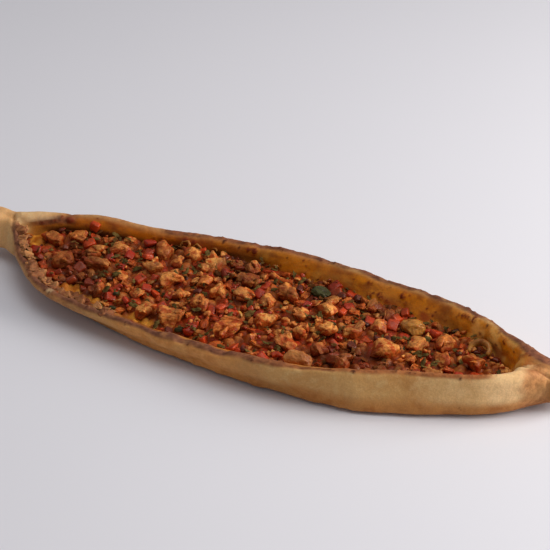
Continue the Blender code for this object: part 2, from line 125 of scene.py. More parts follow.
# Tone, depth and size of clefts, fibre, squareness and cuts of the smooth pieces.
PEPPER_SKIN = (0.4, 0.8 * MM, 5 * MM, 0.1 * MM, 0.85, 3)
DOME_SKIN = (0.25, 0.15 * MM, 9 * MM, 0.06 * MM, 0.95, 0)

# Things stuck to the standing wall: share of the hollow's length, depth below the crest and half sizes.
STUCK_TOMATO = (0.113, 5.6 * MM, (3.5 * MM, 2.4 * MM, 3.3 * MM))
STUCK_ONION = ((0.296, 6.5 * MM, 4.0 * MM), (0.318, 7.5 * MM, 3.4 * MM), (0.352, 8.5 * MM, 3.8 * MM))

# Strewn toppings, from the most sunk to the loosest, in millimetres: how many, least and greatest length,
# greatest width and thickness for that length, share sunk in, places tried, tilt, highest top over the bed.
Layer = namedtuple("Layer", "count least most wide thick sunk tries tilt highest")
PULP = Layer(120, 7, 12.5, 0.9, 0.6, 0.5, 6, 0.4, 4.2)
LARGE_BITS = Layer(90, 9, 14, 1, 0.62, 0.5, 12, 0.4, 5)
LARGE_TOMATO = Layer(92, 6, 9.6, 1, 0.72, 0.45, 8, 0.5, 5.2)
SMALL_BITS = Layer(130, 5, 8.5, 1, 0.85, 0.4, 8, 0.5, 4.8)
SMALL_TOMATO = Layer(44, 4.6, 6.6, 1, 0.85, 0.35, 6, 0.7, 4.2)
RED_PEPPER = Layer(30, 4, 7, 1, 0.6, 0.35, 8, 0.5, 4.2)
GREEN_PEPPER = Layer(14, 3.4, 6, 1, 0.6, 0.35, 6, 0.6, 4.2)
ONION_SLIPS = Layer(44, 5, 9, 1, 0.9, 0.25, 6, 0.6, 4.2)
ONION_CURLS = Layer(5, 7, 10, 1, 0.7, 0.3, 8, 0.7, 4.2)
CHICKEN_CRUMBS = Layer(90, 2.2, 4.4, 1, 0.9, 0.4, 3, 0.8, 4.2)
TOMATO_CRUMBS = Layer(90, 2, 4.2, 1, 0.8, 0.4, 3, 0.8, 4.2)
HERB_CLUMPS = Layer(340, 2.8, 6.4, 1, 1, 0.45, 14, 0.7, 7)
LOOSE_HERBS = Layer(170, 1.8, 4.2, 1, 1, 0.45, 1, 0.6, 7)
# Seeds of the maps that say where a kind gathers.
CHICKEN_MAP = 3
TOMATO_MAP = 17
PEPPER_MAP = 29

DOWN = Vector((0, 0, -1))
TO_WALL = Vector((0, 1, 0))


# ---- small helpers

def ease(value, start, stop):
    """0 at start, 1 at stop and smooth between, for numbers or arrays."""
    t = np.clip((value - start) / (stop - start), 0.0, 1.0)
    return t * t * (3 - 2 * t)


def span(value, a, b, c, d):
    """0 up to a, 1 from b to c and 0 again from d on."""
    return ease(value, a, b) * (1 - ease(value, c, d))


def wave(*place):
    return noise.noise(Vector(place))


def swell(points, scale, shift=0.0, stretch=1.0):
    """Smooth noise between about -1 and 1 at each point; scale is in waves a metre."""
    places = points * np.array(stretch) * scale + shift
    return np.array([noise.noise(Vector(p)) for p in places])


def cells(points, scale, shift=0.0, seam=0.35):
    """Distance to the nearest of scattered seeds, 1 on the seams between them, and each seed's own value."""
    near, second, own = np.empty((3, len(points)))
    for i, p in enumerate(points * scale + shift):
        distances, seeds = noise.voronoi(Vector(p))
        near[i], second[i] = distances[:2]
        own[i] = noise.noise(seeds[0] * 7.3)
    return near, 1 - ease(second - near, 0.0, seam), own


def vertex_array(mesh, field="co"):
    out = np.empty(len(mesh.vertices) * 3)
    mesh.vertices.foreach_get(field, out)
    return out.reshape(-1, 3)


def set_vertices(mesh, points):
    mesh.vertices.foreach_set("co", np.asarray(points, float).ravel())
    mesh.update()


def set_values(mesh, **named):
    """Values at each vertex that a material reads by name."""
    for name, values in named.items():
        layer = mesh.attributes.new(name, 'FLOAT', 'POINT')
        layer.data.foreach_set("value", np.asarray(values, float).ravel())


def new_object(name, data):
    made = bpy.data.objects.new(name, data)
    bpy.context.scene.collection.objects.link(made)
    return made


def mesh_data(name, mesh):
    """Mesh data with this name from a bmesh, which is freed."""
    data = bpy.data.meshes.new(name)
    mesh.to_mesh(data)
    mesh.free()
    return data


def clean_copy(node):
    """A welded bmesh of a CAD node."""
    mesh = bmesh.new()
    mesh.from_mesh(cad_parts[node].data)
    bmesh.ops.remove_doubles(mesh, verts=mesh.verts, dist=1e-6)
    bmesh.ops.recalc_face_normals(mesh, faces=mesh.faces)
    return mesh


def tree_of(node):
    mesh = clean_copy(node)
    tree = BVHTree.FromBMesh(mesh)
    mesh.free()
    return tree


def top_of(tree, x, y):
    """Height of the first surface under a place, or -1 where there is none."""
    hit = tree.ray_cast(Vector((x, y, 0.1)), DOWN)[0]
    return hit.z if hit else -1.0


def placed(at, angles, half=(1, 1, 1), order='XYZ'):
    """The matrix that scales, turns and then moves a piece."""
    return Matrix.Translation(at) @ Euler(angles, order).to_matrix().to_4x4() @ Matrix.Diagonal((*half, 1.0))


def with_modifiers(made):
    """Applies an object's modifiers to its mesh."""
    shaped = bpy.data.meshes.new_from_object(made.evaluated_get(bpy.context.evaluated_depsgraph_get()))
    old = made.data
    made.modifiers.clear()
    made.data = shaped
    shaped.name = old.name
    bpy.data.meshes.remove(old)


def finish_piece(made, look, slot, *nodes):
    """Material, smooth shading, body, and hiding of the CAD nodes that the piece stands for. The slot is not
    used.
    """
    made.data.materials.clear()
    made.data.materials.append(look)
    made.data.shade_smooth()
    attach(made, "root")
    if nodes:
        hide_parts(*nodes)
    return made


# ---- the boat, read from the frame

class Boat:
    """Lines along the boat, read from the crust and the filling: rims, crests and the hollow's edges."""

    STEP = 4 * MM

    def __init__(self):
        self.crust = tree_of("crust")
        self.low, self.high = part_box("crust")
        self.x = np.arange(self.low.x + 3 * MM, self.high.x - 2.9 * MM, self.STEP)
        fill_low, fill_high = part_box("filling")
        self.open_from = fill_low.x
        self.open_to = fill_high.x
        names = ("crest_near", "top_near", "lip_near", "crest_far", "top_far", "lip_far")
        for name, column in zip(names, zip(*[self.across(x) for x in self.x])):
            setattr(self, name, self.soften(np.array(column)))

    def across(self, x):
        """One station: crest, crest height and inner lip of the low rim, then the same of the far rim."""
        ys = np.arange(self.low.y - MM, self.high.y + MM, 0.5 * MM)
        tops = np.array([top_of(self.crust, x, y) for y in ys])
        first, *_, last = np.nonzero(tops > 0)[0]
        middle = (first + last) // 2
        crests = (first + np.argmax(tops[first:middle]), middle + np.argmax(tops[middle:last]))
        lips = [sum(crests) // 2] * 2
        if self.open_from - 2 * MM < x < self.open_to + 2 * MM:
            lips = [next((k for k in range(crest, middle, step) if tops[k] <= tops[crest] - 3 * MM), middle)
                    for crest, step in zip(crests, (1, -1))]
        return [value for crest, lip in zip(crests, lips) for value in (ys[crest], tops[crest], ys[lip])]

    @staticmethod
    def soften(values):
        padded = np.pad(values, 2, mode='edge')
        return sum(w * padded[i:i + len(values)] for i, w in enumerate((0.1, 0.2, 0.4, 0.2, 0.1)))

    def at(self, name, x):
        return np.interp(x, self.x, getattr(self, name))

    def along(self, share):
        """X at a share of the hollow's length."""
        return self.open_from + share * (self.open_to - self.open_from)


boat = Boat()


# ---- materials

class Look:
    """A node material on a Principled shader. In its functions a name stands for a vertex value, and three
    numbers for a display colour from 0 to 255."""

    def __init__(self, name, roughness=0.5, scatter=0.0, scatter_colour=(1.0, 0.4, 0.2), coat=0.0, shine=0.3):
        self.material = bpy.data.materials.new(name)
        self.material.use_nodes = True
        self.tree = self.material.node_tree
        self.shader = self.tree.nodes["Principled BSDF"]
        for key, value in {"Roughness": roughness, "Subsurface Weight": scatter, "Subsurface Scale": 0.003,
                           "Subsurface Radius": scatter_colour, "Coat Weight": coat, "Coat Roughness": 0.12,
                           "Specular IOR Level": shine, "Specular Tint": (1.0, 0.78, 0.58, 1.0)}.items():
            self.shader.inputs[key].default_value = value
        self.place = self.add("ShaderNodeTexCoord", {}).outputs["Object"]

    def add(self, kind, inputs, **settings):
        node = self.tree.nodes.new(kind)
        for key, value in settings.items():
            setattr(node, key, value)
        for key, value in inputs.items():
            self.plug(value, node.inputs[key])
        return node

    def plug(self, value, socket):
        if isinstance(value, str):
            value = self.add("ShaderNodeAttribute", {}, attribute_name=value).outputs["Fac"]
        if hasattr(value, "links"):
            self.tree.links.new(value, socket)
        elif isinstance(value, tuple) and len(value) == 3 and len(socket.default_value) == 4:
            socket.default_value = (*linear(value), 1.0)
        else:
            socket.default_value = value

    def noise(self, scale, detail=4.0, rough=0.55, stretch=(1, 1, 1), shift=(0, 0, 0)):
        mapping = self.add("ShaderNodeMapping", {"Vector": self.place, "Scale": stretch, "Location": shift})
        return self.add("ShaderNodeTexNoise", {"Vector": mapping.outputs["Vector"], "Scale": scale,
                                               "Detail": detail, "Roughness": rough}).outputs["Fac"]

    def math(self, operation, a, b, clamp=False):
        return self.add("ShaderNodeMath", {0: a, 1: b}, operation=operation, use_clamp=clamp).outputs[0]

    def spread(self, value, start, stop, low=0.0, high=1.0):
        """Maps start..stop onto low..high, smoothly and clamped."""
        return self.add("ShaderNodeMapRange",
                        {"Value": value, "From Min": start, "From Max": stop, "To Min": low, "To Max": high},
                        interpolation_type='SMOOTHSTEP').outputs["Result"]

    def broken(self, name, value, start, stop, low=0.0, high=1.0):
        """A vertex value, weakened here and there by another value."""
        return self.math('MULTIPLY', name, self.spread(value, start, stop, low, high))

    def mix(self, factor, a, b):
        return self.add("ShaderNodeMix", {"Factor": factor, 6: a, 7: b}, data_type='RGBA').outputs[2]

    def veil(self, body, colour, value, start, stop, most=1.0):
        """The body colour, turning into another one as a value goes from start to stop."""
        return self.mix(self.spread(value, start, stop, 0.0, most), body, colour)

    def finish(self, colour, roughness, height, depth):
        """Plugs in the colour, the roughness and a bump of this depth, and gives the material."""
        bump = self.add("ShaderNodeBump", {"Height": height, "Distance": depth, "Strength": 1.0})
        self.plug(colour, self.shader.inputs["Base Color"])
        self.plug(roughness, self.shader.inputs["Roughness"])
        self.plug(bump.outputs["Normal"], self.shader.inputs["Normal"])
        return self.material


def linear(colour):
    """A display colour from 0 to 255, made linear."""
    shares = (value / 255 for value in colour)
    return tuple(c / 12.92 if c <= 0.04045 else ((c + 0.055) / 1.055) ** 2.4 for c in shares)


def dough_look():
    """Pale baked flank, browned crests, oily amber inside with scorched blisters, a floured left tip, with
    painted light and shade mixed in.
    """
    look = Look("dough", scatter=0.12, scatter_colour=(1.0, 0.5, 0.25))
    broad = look.noise(38, 3)
    mottle = look.noise(150, 5, 0.62)
    grain = look.noise(900, 4, 0.6)

    upper = look.veil((206, 158, 96), (192, 138, 76), broad, 0.35, 0.68)
    upper = look.veil(upper, (220, 184, 126), mottle, 0.42, 0.72, 0.55)
    lower = look.veil((190, 126, 64), (170, 106, 50), mottle, 0.35, 0.68)
    low = look.math('ADD', "low", look.spread(broad, 0.5, 0.62, -0.12, 0.12), clamp=True)
    flank = look.mix(low, upper, lower)
    # Pale dough and painted highlight: the lit hump at the right end and the left tip are painted paler.
    flank = look.mix(look.broken("pale_and_highlight", mottle, 0.3, 0.6, 0.7), flank, (255, 215, 156))
    golden = look.veil((226, 156, 86), (200, 128, 62), mottle, 0.35, 0.68)
    flank = look.mix(look.broken("golden", broad, 0.3, 0.6, 0.6), flank, golden)
    toast = look.veil((142, 84, 46), (190, 126, 76), look.noise(260, 4, 0.6), 0.35, 0.66)
    # Toasting and painted shade.
    flank = look.mix(look.broken("toast_and_shade", broad, 0.3, 0.65, 0.6), flank, toast)

    streaks = look.noise(120, 4, 0.6, stretch=(0.4, 1, 1), shift=(0, 0, 2))
    inside = look.veil((178, 110, 50), (140, 74, 28), mottle, 0.35, 0.7)
    # Painted light: the wall's inner face is painted brighter where it is lit, most on the right.
    inside = look.mix(look.math('MULTIPLY', "lit", 0.85), inside, (246, 162, 74))
    amber = look.veil((194, 98, 8), (132, 48, 4), streaks, 0.36, 0.62)
    amber = look.mix(look.broken("lit", streaks, 0.66, 0.44, 0.35), amber, (255, 160, 18))
    inside = look.mix(look.broken("oily", broad, 0.3, 0.62, 0.6), inside, amber)
    inside = look.veil(inside, (216, 150, 60), look.noise(34, 3, 0.6, shift=(9, 0, 0)), 0.5, 0.62, 0.5)
    inside = look.veil(inside, (130, 56, 14), look.noise(48, 3, 0.6, shift=(0, 6, 0)), 0.52, 0.64, 0.42)
    creamy = look.broken("right_wall", look.noise(62, 3, 0.6, shift=(4, 0, 8)), 0.45, 0.56, 0.0, 0.9)
    inside = look.mix(creamy, inside, (255, 190, 96))

    base = look.mix("inside", flank, inside)
    torn = look.veil((176, 116, 64), (108, 62, 42), look.noise(240, 4, 0.62, shift=(2, 4, 0)), 0.4, 0.62)
    base = look.mix("ragged", base, torn)
    rough = look.noise(210, 4, 0.6, shift=(3, 0, 0))
    crest = look.veil((92, 52, 38), (130, 80, 57), rough, 0.35, 0.66)
    crest = look.mix("warm_crest", crest, look.veil((134, 76, 40), (172, 104, 56), rough, 0.35, 0.66))
    crest = look.mix("dark_crest", crest, look.veil((100, 54, 36), (144, 84, 52), rough, 0.35, 0.66))
    worn = look.broken("ragged", look.noise(125, 4, 0.6, shift=(7, 0, 0)), 0.50, 0.62)
    baked = look.broken("browned", look.noise(95, 4, 0.6, shift=(0, 5, 0)), 0.25, 0.5, 0.7)
    base = look.mix(look.math('MULTIPLY', baked, look.math('SUBTRACT', 1.0, worn)), base, crest)
    # Flour, and painted light: the left tip is painted paler.
    base = look.mix(look.broken("flour_and_painted_light", mottle, 0.3, 0.6, 0.6), base, (228, 190, 140))
    # Painted shade in the grooves where the rims meet.
    base = look.mix("creased", base, (112, 56, 26))
    scorch = look.broken("scorched", look.noise(300, 3, 0.5, shift=(0, 0, 7)), 0.36, 0.52)
    base = look.mix(scorch, base, (66, 24, 12))
    base = look.mix("stained", base, (150, 44, 8))
    base = look.mix("shaded", base, (52, 18, 8))
    base = look.veil(base, (96, 56, 28), grain, 0.3, 0.7, 0.18)

    wet = look.math('MULTIPLY', "oily", 0.34)
    roughness = look.math('SUBTRACT', look.spread(mottle, 0.3, 0.7, 0.56, 0.72), wet)
    height = look.math('ADD', look.math('MULTIPLY', grain, 0.35), look.math('MULTIPLY', mottle, 0.9))
    return look.finish(base, roughness, height, 0.5 * MM)


def oiled_and_shaded(look, body):
    """The body colour with broad areas darker with oil, and painted shade against the standing wall."""
    oiled = look.veil(body, (92, 34, 11), look.noise(24, 2, 0.5, shift=(0, 3, 1)), 0.48, 0.62, 0.72)
    return look.mix("clean", look.mix("shade", oiled, (58, 18, 7)), body)


def chicken_look():
    """Spiced cooked chicken: creamy with a painted highlight on its humps, orange with spice, darker with oil
    and painted shade in its creases and underside.
    """
    look = Look("chicken", scatter=0.25, scatter_colour=(1.0, 0.45, 0.2), coat=0.05, shine=0.2)
    fleck = look.noise(460, 4, 0.6)
    pale = look.mix("tone", (228, 156, 80), (190, 106, 44))
    warm = look.mix("tone", (188, 80, 22), (142, 48, 13))
    # Sauce and painted highlight: the top of each piece is painted pale, its lower sides orange with sauce.
    sauce_and_highlight = look.math('SUBTRACT', look.noise(190, 3), look.spread("crown", 0.35, 0.95, -0.17, 0.10))
    body = look.veil(pale, warm, sauce_and_highlight, 0.40, 0.56)
    body = look.veil(body, (146, 52, 16), look.noise(50, 2, shift=(5, 0, 0)), 0.5, 0.64, 0.55)
    body = look.veil(body, (134, 54, 16), fleck, 0.46, 0.62, 0.6)
    body = look.veil(body, (210, 142, 66), look.noise(300, 3, 0.6, shift=(0, 4, 3)), 0.52, 0.66, 0.55)
    body = look.veil(body, (56, 46, 18), look.noise(560, 2, shift=(0, 9, 0)), 0.64, 0.71, 0.7)
    body = look.mix("plain", body, look.veil((204, 134, 72), (176, 104, 52), fleck, 0.4, 0.7, 0.5))
    # Darker in creases and underside: oil and painted shade.
    body = look.veil(body, (118, 48, 15), "crease", 0.15, 1.0, 0.75)
    height = look.math('ADD', fleck, look.noise(1100, 2, 0.5, stretch=(0.3, 1, 1)))
    return look.finish(oiled_and_shaded(look, body), look.spread(fleck, 0.3, 0.7, 0.35, 0.6), height, 0.4 * MM)


def wet_look(name, light, dark, deep, roughness=0.3, coat=0.15, scatter=0.35, skin=260, shine=0.3):
    """Cooked vegetable: two tones from piece to piece, mottled, darker with oil and painted shade in its
    creases and underside, wet.
    """
    look = Look(name, scatter=scatter, scatter_colour=(1.0, 0.3, 0.12), coat=coat, shine=shine)
    body = look.veil(look.mix("tone", light, dark), deep, look.noise(skin, 4, 0.6), 0.4, 0.75, 0.6)
    # Darker in creases and underside: oil and painted shade.
    body = oiled_and_shaded(look, look.mix("crease", body, deep))
    gloss = look.spread(look.noise(skin * 2.0, 3), 0.3, 0.7, roughness * 0.7, roughness * 1.8)
    return look.finish(body, gloss, look.noise(skin * 3.0, 3), 0.2 * MM)


def sauce_look():
    """The cooked-down mass: soft lumps of chicken and tomato in red-brown oil, and patches of bare dough."""
    look = Look("sauce", scatter=0.2, coat=0.04, shine=0.2)
    crumb = look.noise(330, 5, 0.62)
    body = look.veil((154, 60, 16), (158, 80, 26), look.noise(120, 3), 0.35, 0.65)
    body = look.mix("meat", body, look.veil((178, 108, 48), (148, 70, 24), crumb, 0.4, 0.62))
    body = look.mix("red", body, look.veil((160, 46, 16), (114, 28, 10), crumb, 0.4, 0.62))
    # Darker in the gap by the wall and in seams: painted shade and oil.
    body = oiled_and_shaded(look, look.mix("crease", body, (116, 42, 13)))
    dough = look.veil((214, 142, 48), (180, 98, 24), look.noise(160, 4), 0.35, 0.65)
    body = look.mix("bare", body, dough)
    return look.finish(body, look.spread(crumb, 0.3, 0.7, 0.34, 0.6), crumb, 0.6 * MM)


# ---- the dough

def scattered_bumps(points, places, radii, heights):
    """Outward push of each point from round blisters at the given places."""
    push = np.zeros(len(points))
    for place, r, h in zip(places, radii, heights):
        near = np.abs(points - place).max(1) < r
        part = points[near] - place
        push[near] = np.maximum(push[near], h * (1 - np.clip((part ** 2).sum(1) / r ** 2, 0, 1)) ** 2)
    return push


def from_line(points, line):
    """Distance from each point to a bent line, seen from above."""
    best = np.full(len(points), 1.0)
    for start, stop in zip(np.array(line), np.array(line[1:])):
        way = stop - start
        off = points[:, :2] - start
        share = np.clip(off @ way / (way @ way), 0, 1)
        best = np.minimum(best, np.linalg.norm(off - np.outer(share, way), axis=1))
    return best


def dough_zones(points, normals):
    """Where each point lies: which rim, how far in from its crest and below it, how baked and how oily."""
    x, y, z = points.T
    far = y > 0.5 * (boat.at("lip_near", x) + boat.at("lip_far", x))
    side = np.where(far, -1.0, 1.0)
    inward = side * (y - np.where(far, boat.at("crest_far", x), boat.at("crest_near", x)))
    drop = np.where(far, boat.at("top_far", x), boat.at("top_near", x)) - z
    turned = side * normals[:, 1] + 0.5 * normals[:, 2]
    right_end = boat.open_to + np.where(far, 26 * MM, 6 * MM)
    hollow = ease(x, boat.open_from - 6 * MM, boat.open_from + 2 * MM) \
        * ease(right_end - x, 0.0, np.where(far, 14 * MM, 8 * MM))
    inside = ease(inward, 0.5 * MM, 3.0 * MM) * ease(turned, 0.15, 0.5) * hollow * ease(z, 5 * MM, 7 * MM)
    inside *= 1 - 0.8 * far * ease(x, 0.190, 0.198)
    wander = 1.2 * MM * swell(points, 90.0)
    left = ease(-x, 0.02, 0.10)

    # The browned crest, which fades on the left of the wall, where a browned line runs below it instead.
    reach_in = np.where(far, (1.9 - 0.4 * ease(x, -0.01, 0.06)) * MM, (3.2 + 1.6 * left) * MM)
    reach = np.where(inward > 0, reach_in, np.where(far, 4.0 * MM, 2.4 * MM))
    browned = 1 - ease(drop + 0.6 * wander, 0.35 * reach, reach)
    fading = ease(x, -0.158, -0.150) * (1 - 0.9 * span(x, -0.153, -0.146, -0.094, -0.082))
    browned *= np.where(far, fading, 1.0)
    depth = np.interp(x, *LOW_BROWNING)
    line = far * ease(inward, 0.3 * MM, 1.5 * MM) \
        * (1 - ease(np.abs(drop + 0.5 * wander - depth), 1.6 * MM, 3 * MM))
    browned = np.maximum(browned, line * span(x, -0.181, -0.168, -0.151, -0.144))
    browned *= ease(x, -0.188, -0.178) * (1 - 0.85 * ~far * ease(x, 0.166, 0.176))
    browned = np.maximum(browned, 0.6 * far * ease(x, 0.190, 0.197))

    oily = inside * ease(drop + wander, 0.8 * MM, 3.4 * MM) * (1 - 0.75 * ease(x, 0.172, 0.188))
    ragged = left * ~far * ease(inward, -0.5 * MM, 2.0 * MM) * ease(normals[:, 2], 0.0, 0.4) \
        * ease(x, -0.185, -0.178) * ease(16 * MM - inward, 0.0, 3.0 * MM)
    return SimpleNamespace(far=far, inward=inward, inside=inside, drop=drop, browned=browned, oily=oily,
                           ragged=ragged, above_line=far * ease(depth - drop, 0.4 * MM, 1.6 * MM))


def blister_places(points, zones, draw):
    """Places, radii and heights of the blisters: a few large ones, and small ones on the wall and rims."""
    places = []
    for share, drop in LARGE_BLISTERS:
        off = np.abs(points[:, 0] - boat.along(share)) + np.abs(zones.drop - drop) + 0.1 * (~zones.far) \
            + 0.1 * (zones.inward < 0)
        centre = points[int(np.argmin(off))]
        for _ in range(4):
            shift = np.array((draw.gauss(0, 1), 0, draw.gauss(0, 0.5))) * 3 * MM
            places.append((centre + shift, draw.uniform(1.8, 3.4) * MM))
    inner = np.nonzero((zones.inside > 0.5) & (zones.drop < 13 * MM) & zones.far)[0]
    rim = np.nonzero(zones.browned > 0.7)[0]
    places += [(points[draw.choice(inner)], draw.uniform(0.8, 2.0) * MM) for _ in range(WALL_BLISTERS)]
    places += [(points[draw.choice(rim)], draw.uniform(0.8, 2.2) * MM) for _ in range(RIM_BLISTERS)]
    spots, radii = zip(*places)
    return spots, radii, [r * draw.uniform(0.16, 0.34) for r in radii]


def specks(points, draw):
    """Small burnt specks strewn over the whole crust: 1 at their middles."""
    burnt = np.zeros(len(points))
    for _ in range(SPECKS):
        place = points[draw.randrange(len(points))]
        reach = draw.uniform(1.0, 2.0) * MM
        burnt = np.maximum(burnt, 1 - ease(np.linalg.norm(points - place, axis=1), 0.5 * reach, reach))
    return burnt


def dough_relief(points, zones):
    """Outward push of each point from lumps, folds, wrinkles and pores, and from notched and torn crests."""
    x = points[:, 0]
    bitten = ~zones.far * span(x, -0.11, -0.07, 0.08, 0.15)
    pit = span(zones.inward, 0.5 * MM, 3.0 * MM, 5 * MM, 9 * MM)
    torn = 1.1 * swell(points, 140.0, 3.0) + 0.7 * swell(points, 330.0, 8.0) - 1.2 * pit
    crest = 0.22 * swell(points, 300.0, 1.0) \
        - 0.6 * ease(swell(points, 120.0, 3.0, (1, 0.3, 0.3)), 0.1, 0.5) \
        - 1.3 * bitten * ease(swell(points, 62.0, 6.0, (1, 0.2, 0.2)), 0.05, 0.45)
    whole = 0.6 * swell(points, 50.0, 2.0) + 0.2 * swell(points, 240.0, 5.0, (0.6, 1, 1)) \
        + 0.10 * swell(points, 800.0, 9.0)
    folds = 0.9 * swell(points, 75.0, 6.0, (0.8, 1, 1.3))
    return MM * (whole + folds * zones.inside + crest * zones.browned + torn * zones.ragged)


def dough_values(points, zones, blisters, creases, draw):
    """What the dough's material reads at each point, from 0 to 1."""
    x, _, z = points.T
    far = zones.far
    patch = swell(points, 30.0, 8.0)
    # Pale dough and painted highlight on the lit hump at the low rim's right end.
    pale_and_highlight = ~far * (0.35 * ease(x, 0.120, 0.150) + 0.65 * ease(x, 0.163, 0.175)) \
        * ease(0.1905 - x + 2 * MM * patch, 0.0, 0.0055) * ease(z, 8 * MM, 15 * MM)
    # Toasting, with painted shade: the left part and the bottom edge are painted darker for shade as well as
    # browning; the right end's mottles and the patches are toasting.
    toast_and_shade = 0.7 * span(x, -0.185, -0.16, -0.10, -0.06) + 0.7 * (1 - ease(z, 0.0, 5.0 * MM)) \
        + 0.25 * ~far * ease(x + 6 * MM * swell(points, 110.0, 5.0), 0.165, 0.180) \
        + 0.75 * ~far * ease(x + 3.5 * MM * swell(points, 160.0, 5.0), 0.1830, 0.1910) \
        + 0.6 * far * ease(x, 0.186, 0.194) + 0.25 * ease(patch, 0.1, 0.6)
    share, reach = FLOUR_SPOT
    spot_x = boat.along(share)
    spot = np.array((spot_x, boat.at("crest_near", spot_x) - 1.5 * MM, boat.at("top_near", spot_x)))
    off = np.linalg.norm((points - spot) * np.array((0.7, 1, 1)), axis=1)
    off += 0.8 * MM * swell(points, 400.0, 2.0)
    # Real flour at the far left and in a spot on the low crest; the left tip is also painted paler as painted
    # light.
    flour_and_painted_light = np.maximum.reduce((span(x, -0.189, -0.183, -0.168, -0.154) * zones.above_line,
                                0.45 * ease(-x, 0.172, 0.186) * (1 - zones.browned),
                                1.2 * (1 - ease(off, 0.3 * reach, reach))))
    foot = zones.inside * far * ease(zones.drop, 5.5 * MM, 9.0 * MM) * span(x, -0.178, -0.158, -0.05, 0.02)
    stain = np.maximum(ease(zones.drop, 7.5 * MM, 11.5 * MM) * ease(swell(points, 120.0, 4.0), -0.2, 0.3),
                       0.6 * ease(blisters, 0.02 * MM, 0.25 * MM))
    scorched = ease(blisters, 0.18 * MM, 0.45 * MM) + 0.12 * zones.browned + specks(points, draw)
    return {
        "low": 1 - ease(z + 2.5 * MM * patch, 4.5 * MM, 16.5 * MM),
        # The left tip, which lies in shade, is painted paler as painted light.
        "pale_and_highlight": np.maximum(pale_and_highlight, 0.6 * ease(-x, 0.187, 0.196) * ease(z, 6 * MM, 13 * MM)),
        "golden": np.maximum(span(x, -0.10, -0.06, -0.01, 0.05), 0.5 * ease(-x, 0.178, 0.192)),
        "toast_and_shade": toast_and_shade.clip(0, 1),
        "warm_crest": ~far * ease(x, -0.01, 0.09),
        "dark_crest": far * (1 - 0.55 * ease(x, -0.03, 0.05)),
        "browned": zones.browned,
        "ragged": 0.85 * zones.ragged,
        "flour_and_painted_light": 0.75 * flour_and_painted_light.clip(0, 1.2),
        "inside": zones.inside,
        "oily": zones.oily,
        # Painted light on the wall's inner face, from WALL_GLOW.
        "lit": np.interp(x + 5 * MM * swell(points, 70.0, 12.0), *zip(*WALL_GLOW)),
        "right_wall": span(x, 0.11, 0.155, 0.176, 0.184),
        # Painted shade in the grooves where the rims meet.
        "creased": 0.55 * ease(creases, 0.5 * MM, 1.6 * MM),
        "scorched": scorched.clip(0, 1),
        "stained": 0.7 * zones.inside * stain * ease(x, -0.178, -0.158),
        "shaded": 0.8 * foot}


def make_dough():
    """The crust as one fine skin: the CAD crust remeshed, then wrinkled, notched, grooved and blistered."""
    made = new_object("dough", mesh_data("dough", clean_copy("crust")))
    remesh = made.modifiers.new("remesh", 'REMESH')
    remesh.mode = 'VOXEL'
    remesh.voxel_size = DOUGH_VOXEL
    smooth = made.modifiers.new("smooth", 'SMOOTH')
    smooth.factor = 0.5
    smooth.iterations = DOUGH_SMOOTHING
    with_modifiers(made)
    points = vertex_array(made.data)
    normals = vertex_array(made.data, "normal")
    zones = dough_zones(points, normals)
    draw = random.Random(SEED)

    blisters = scattered_bumps(points, *blister_places(points, zones, draw))
    creases = np.zeros(len(points))
    for line, depth, width in END_CREASES:
        creases = np.maximum(creases, depth * (1 - ease(from_line(points, line), 0.0, width)))
    creases *= ease(points[:, 2], 8 * MM, 14 * MM)
    push = DOUGH_SWELL + dough_relief(points, zones) + blisters - creases
    off_base = ease(points[:, 2], 0.3 * MM, 2.5 * MM)
    set_vertices(made.data, points + normals * (off_base * push)[:, None])
    set_values(made.data, **dough_values(points, zones, blisters, creases, draw))
    return finish_piece(made, dough_look(), "crust", "crust")


# ---- the map that toppings are laid on

def around(values, reach, combine):
    """A map in which each cell combines its neighbours on both sides, along both axes."""
    count = round(reach / CELL)
    for axis in (0, 1):
        values = combine([np.roll(values, k, axis) for k in range(-count, count + 1)], axis=0)
    return values


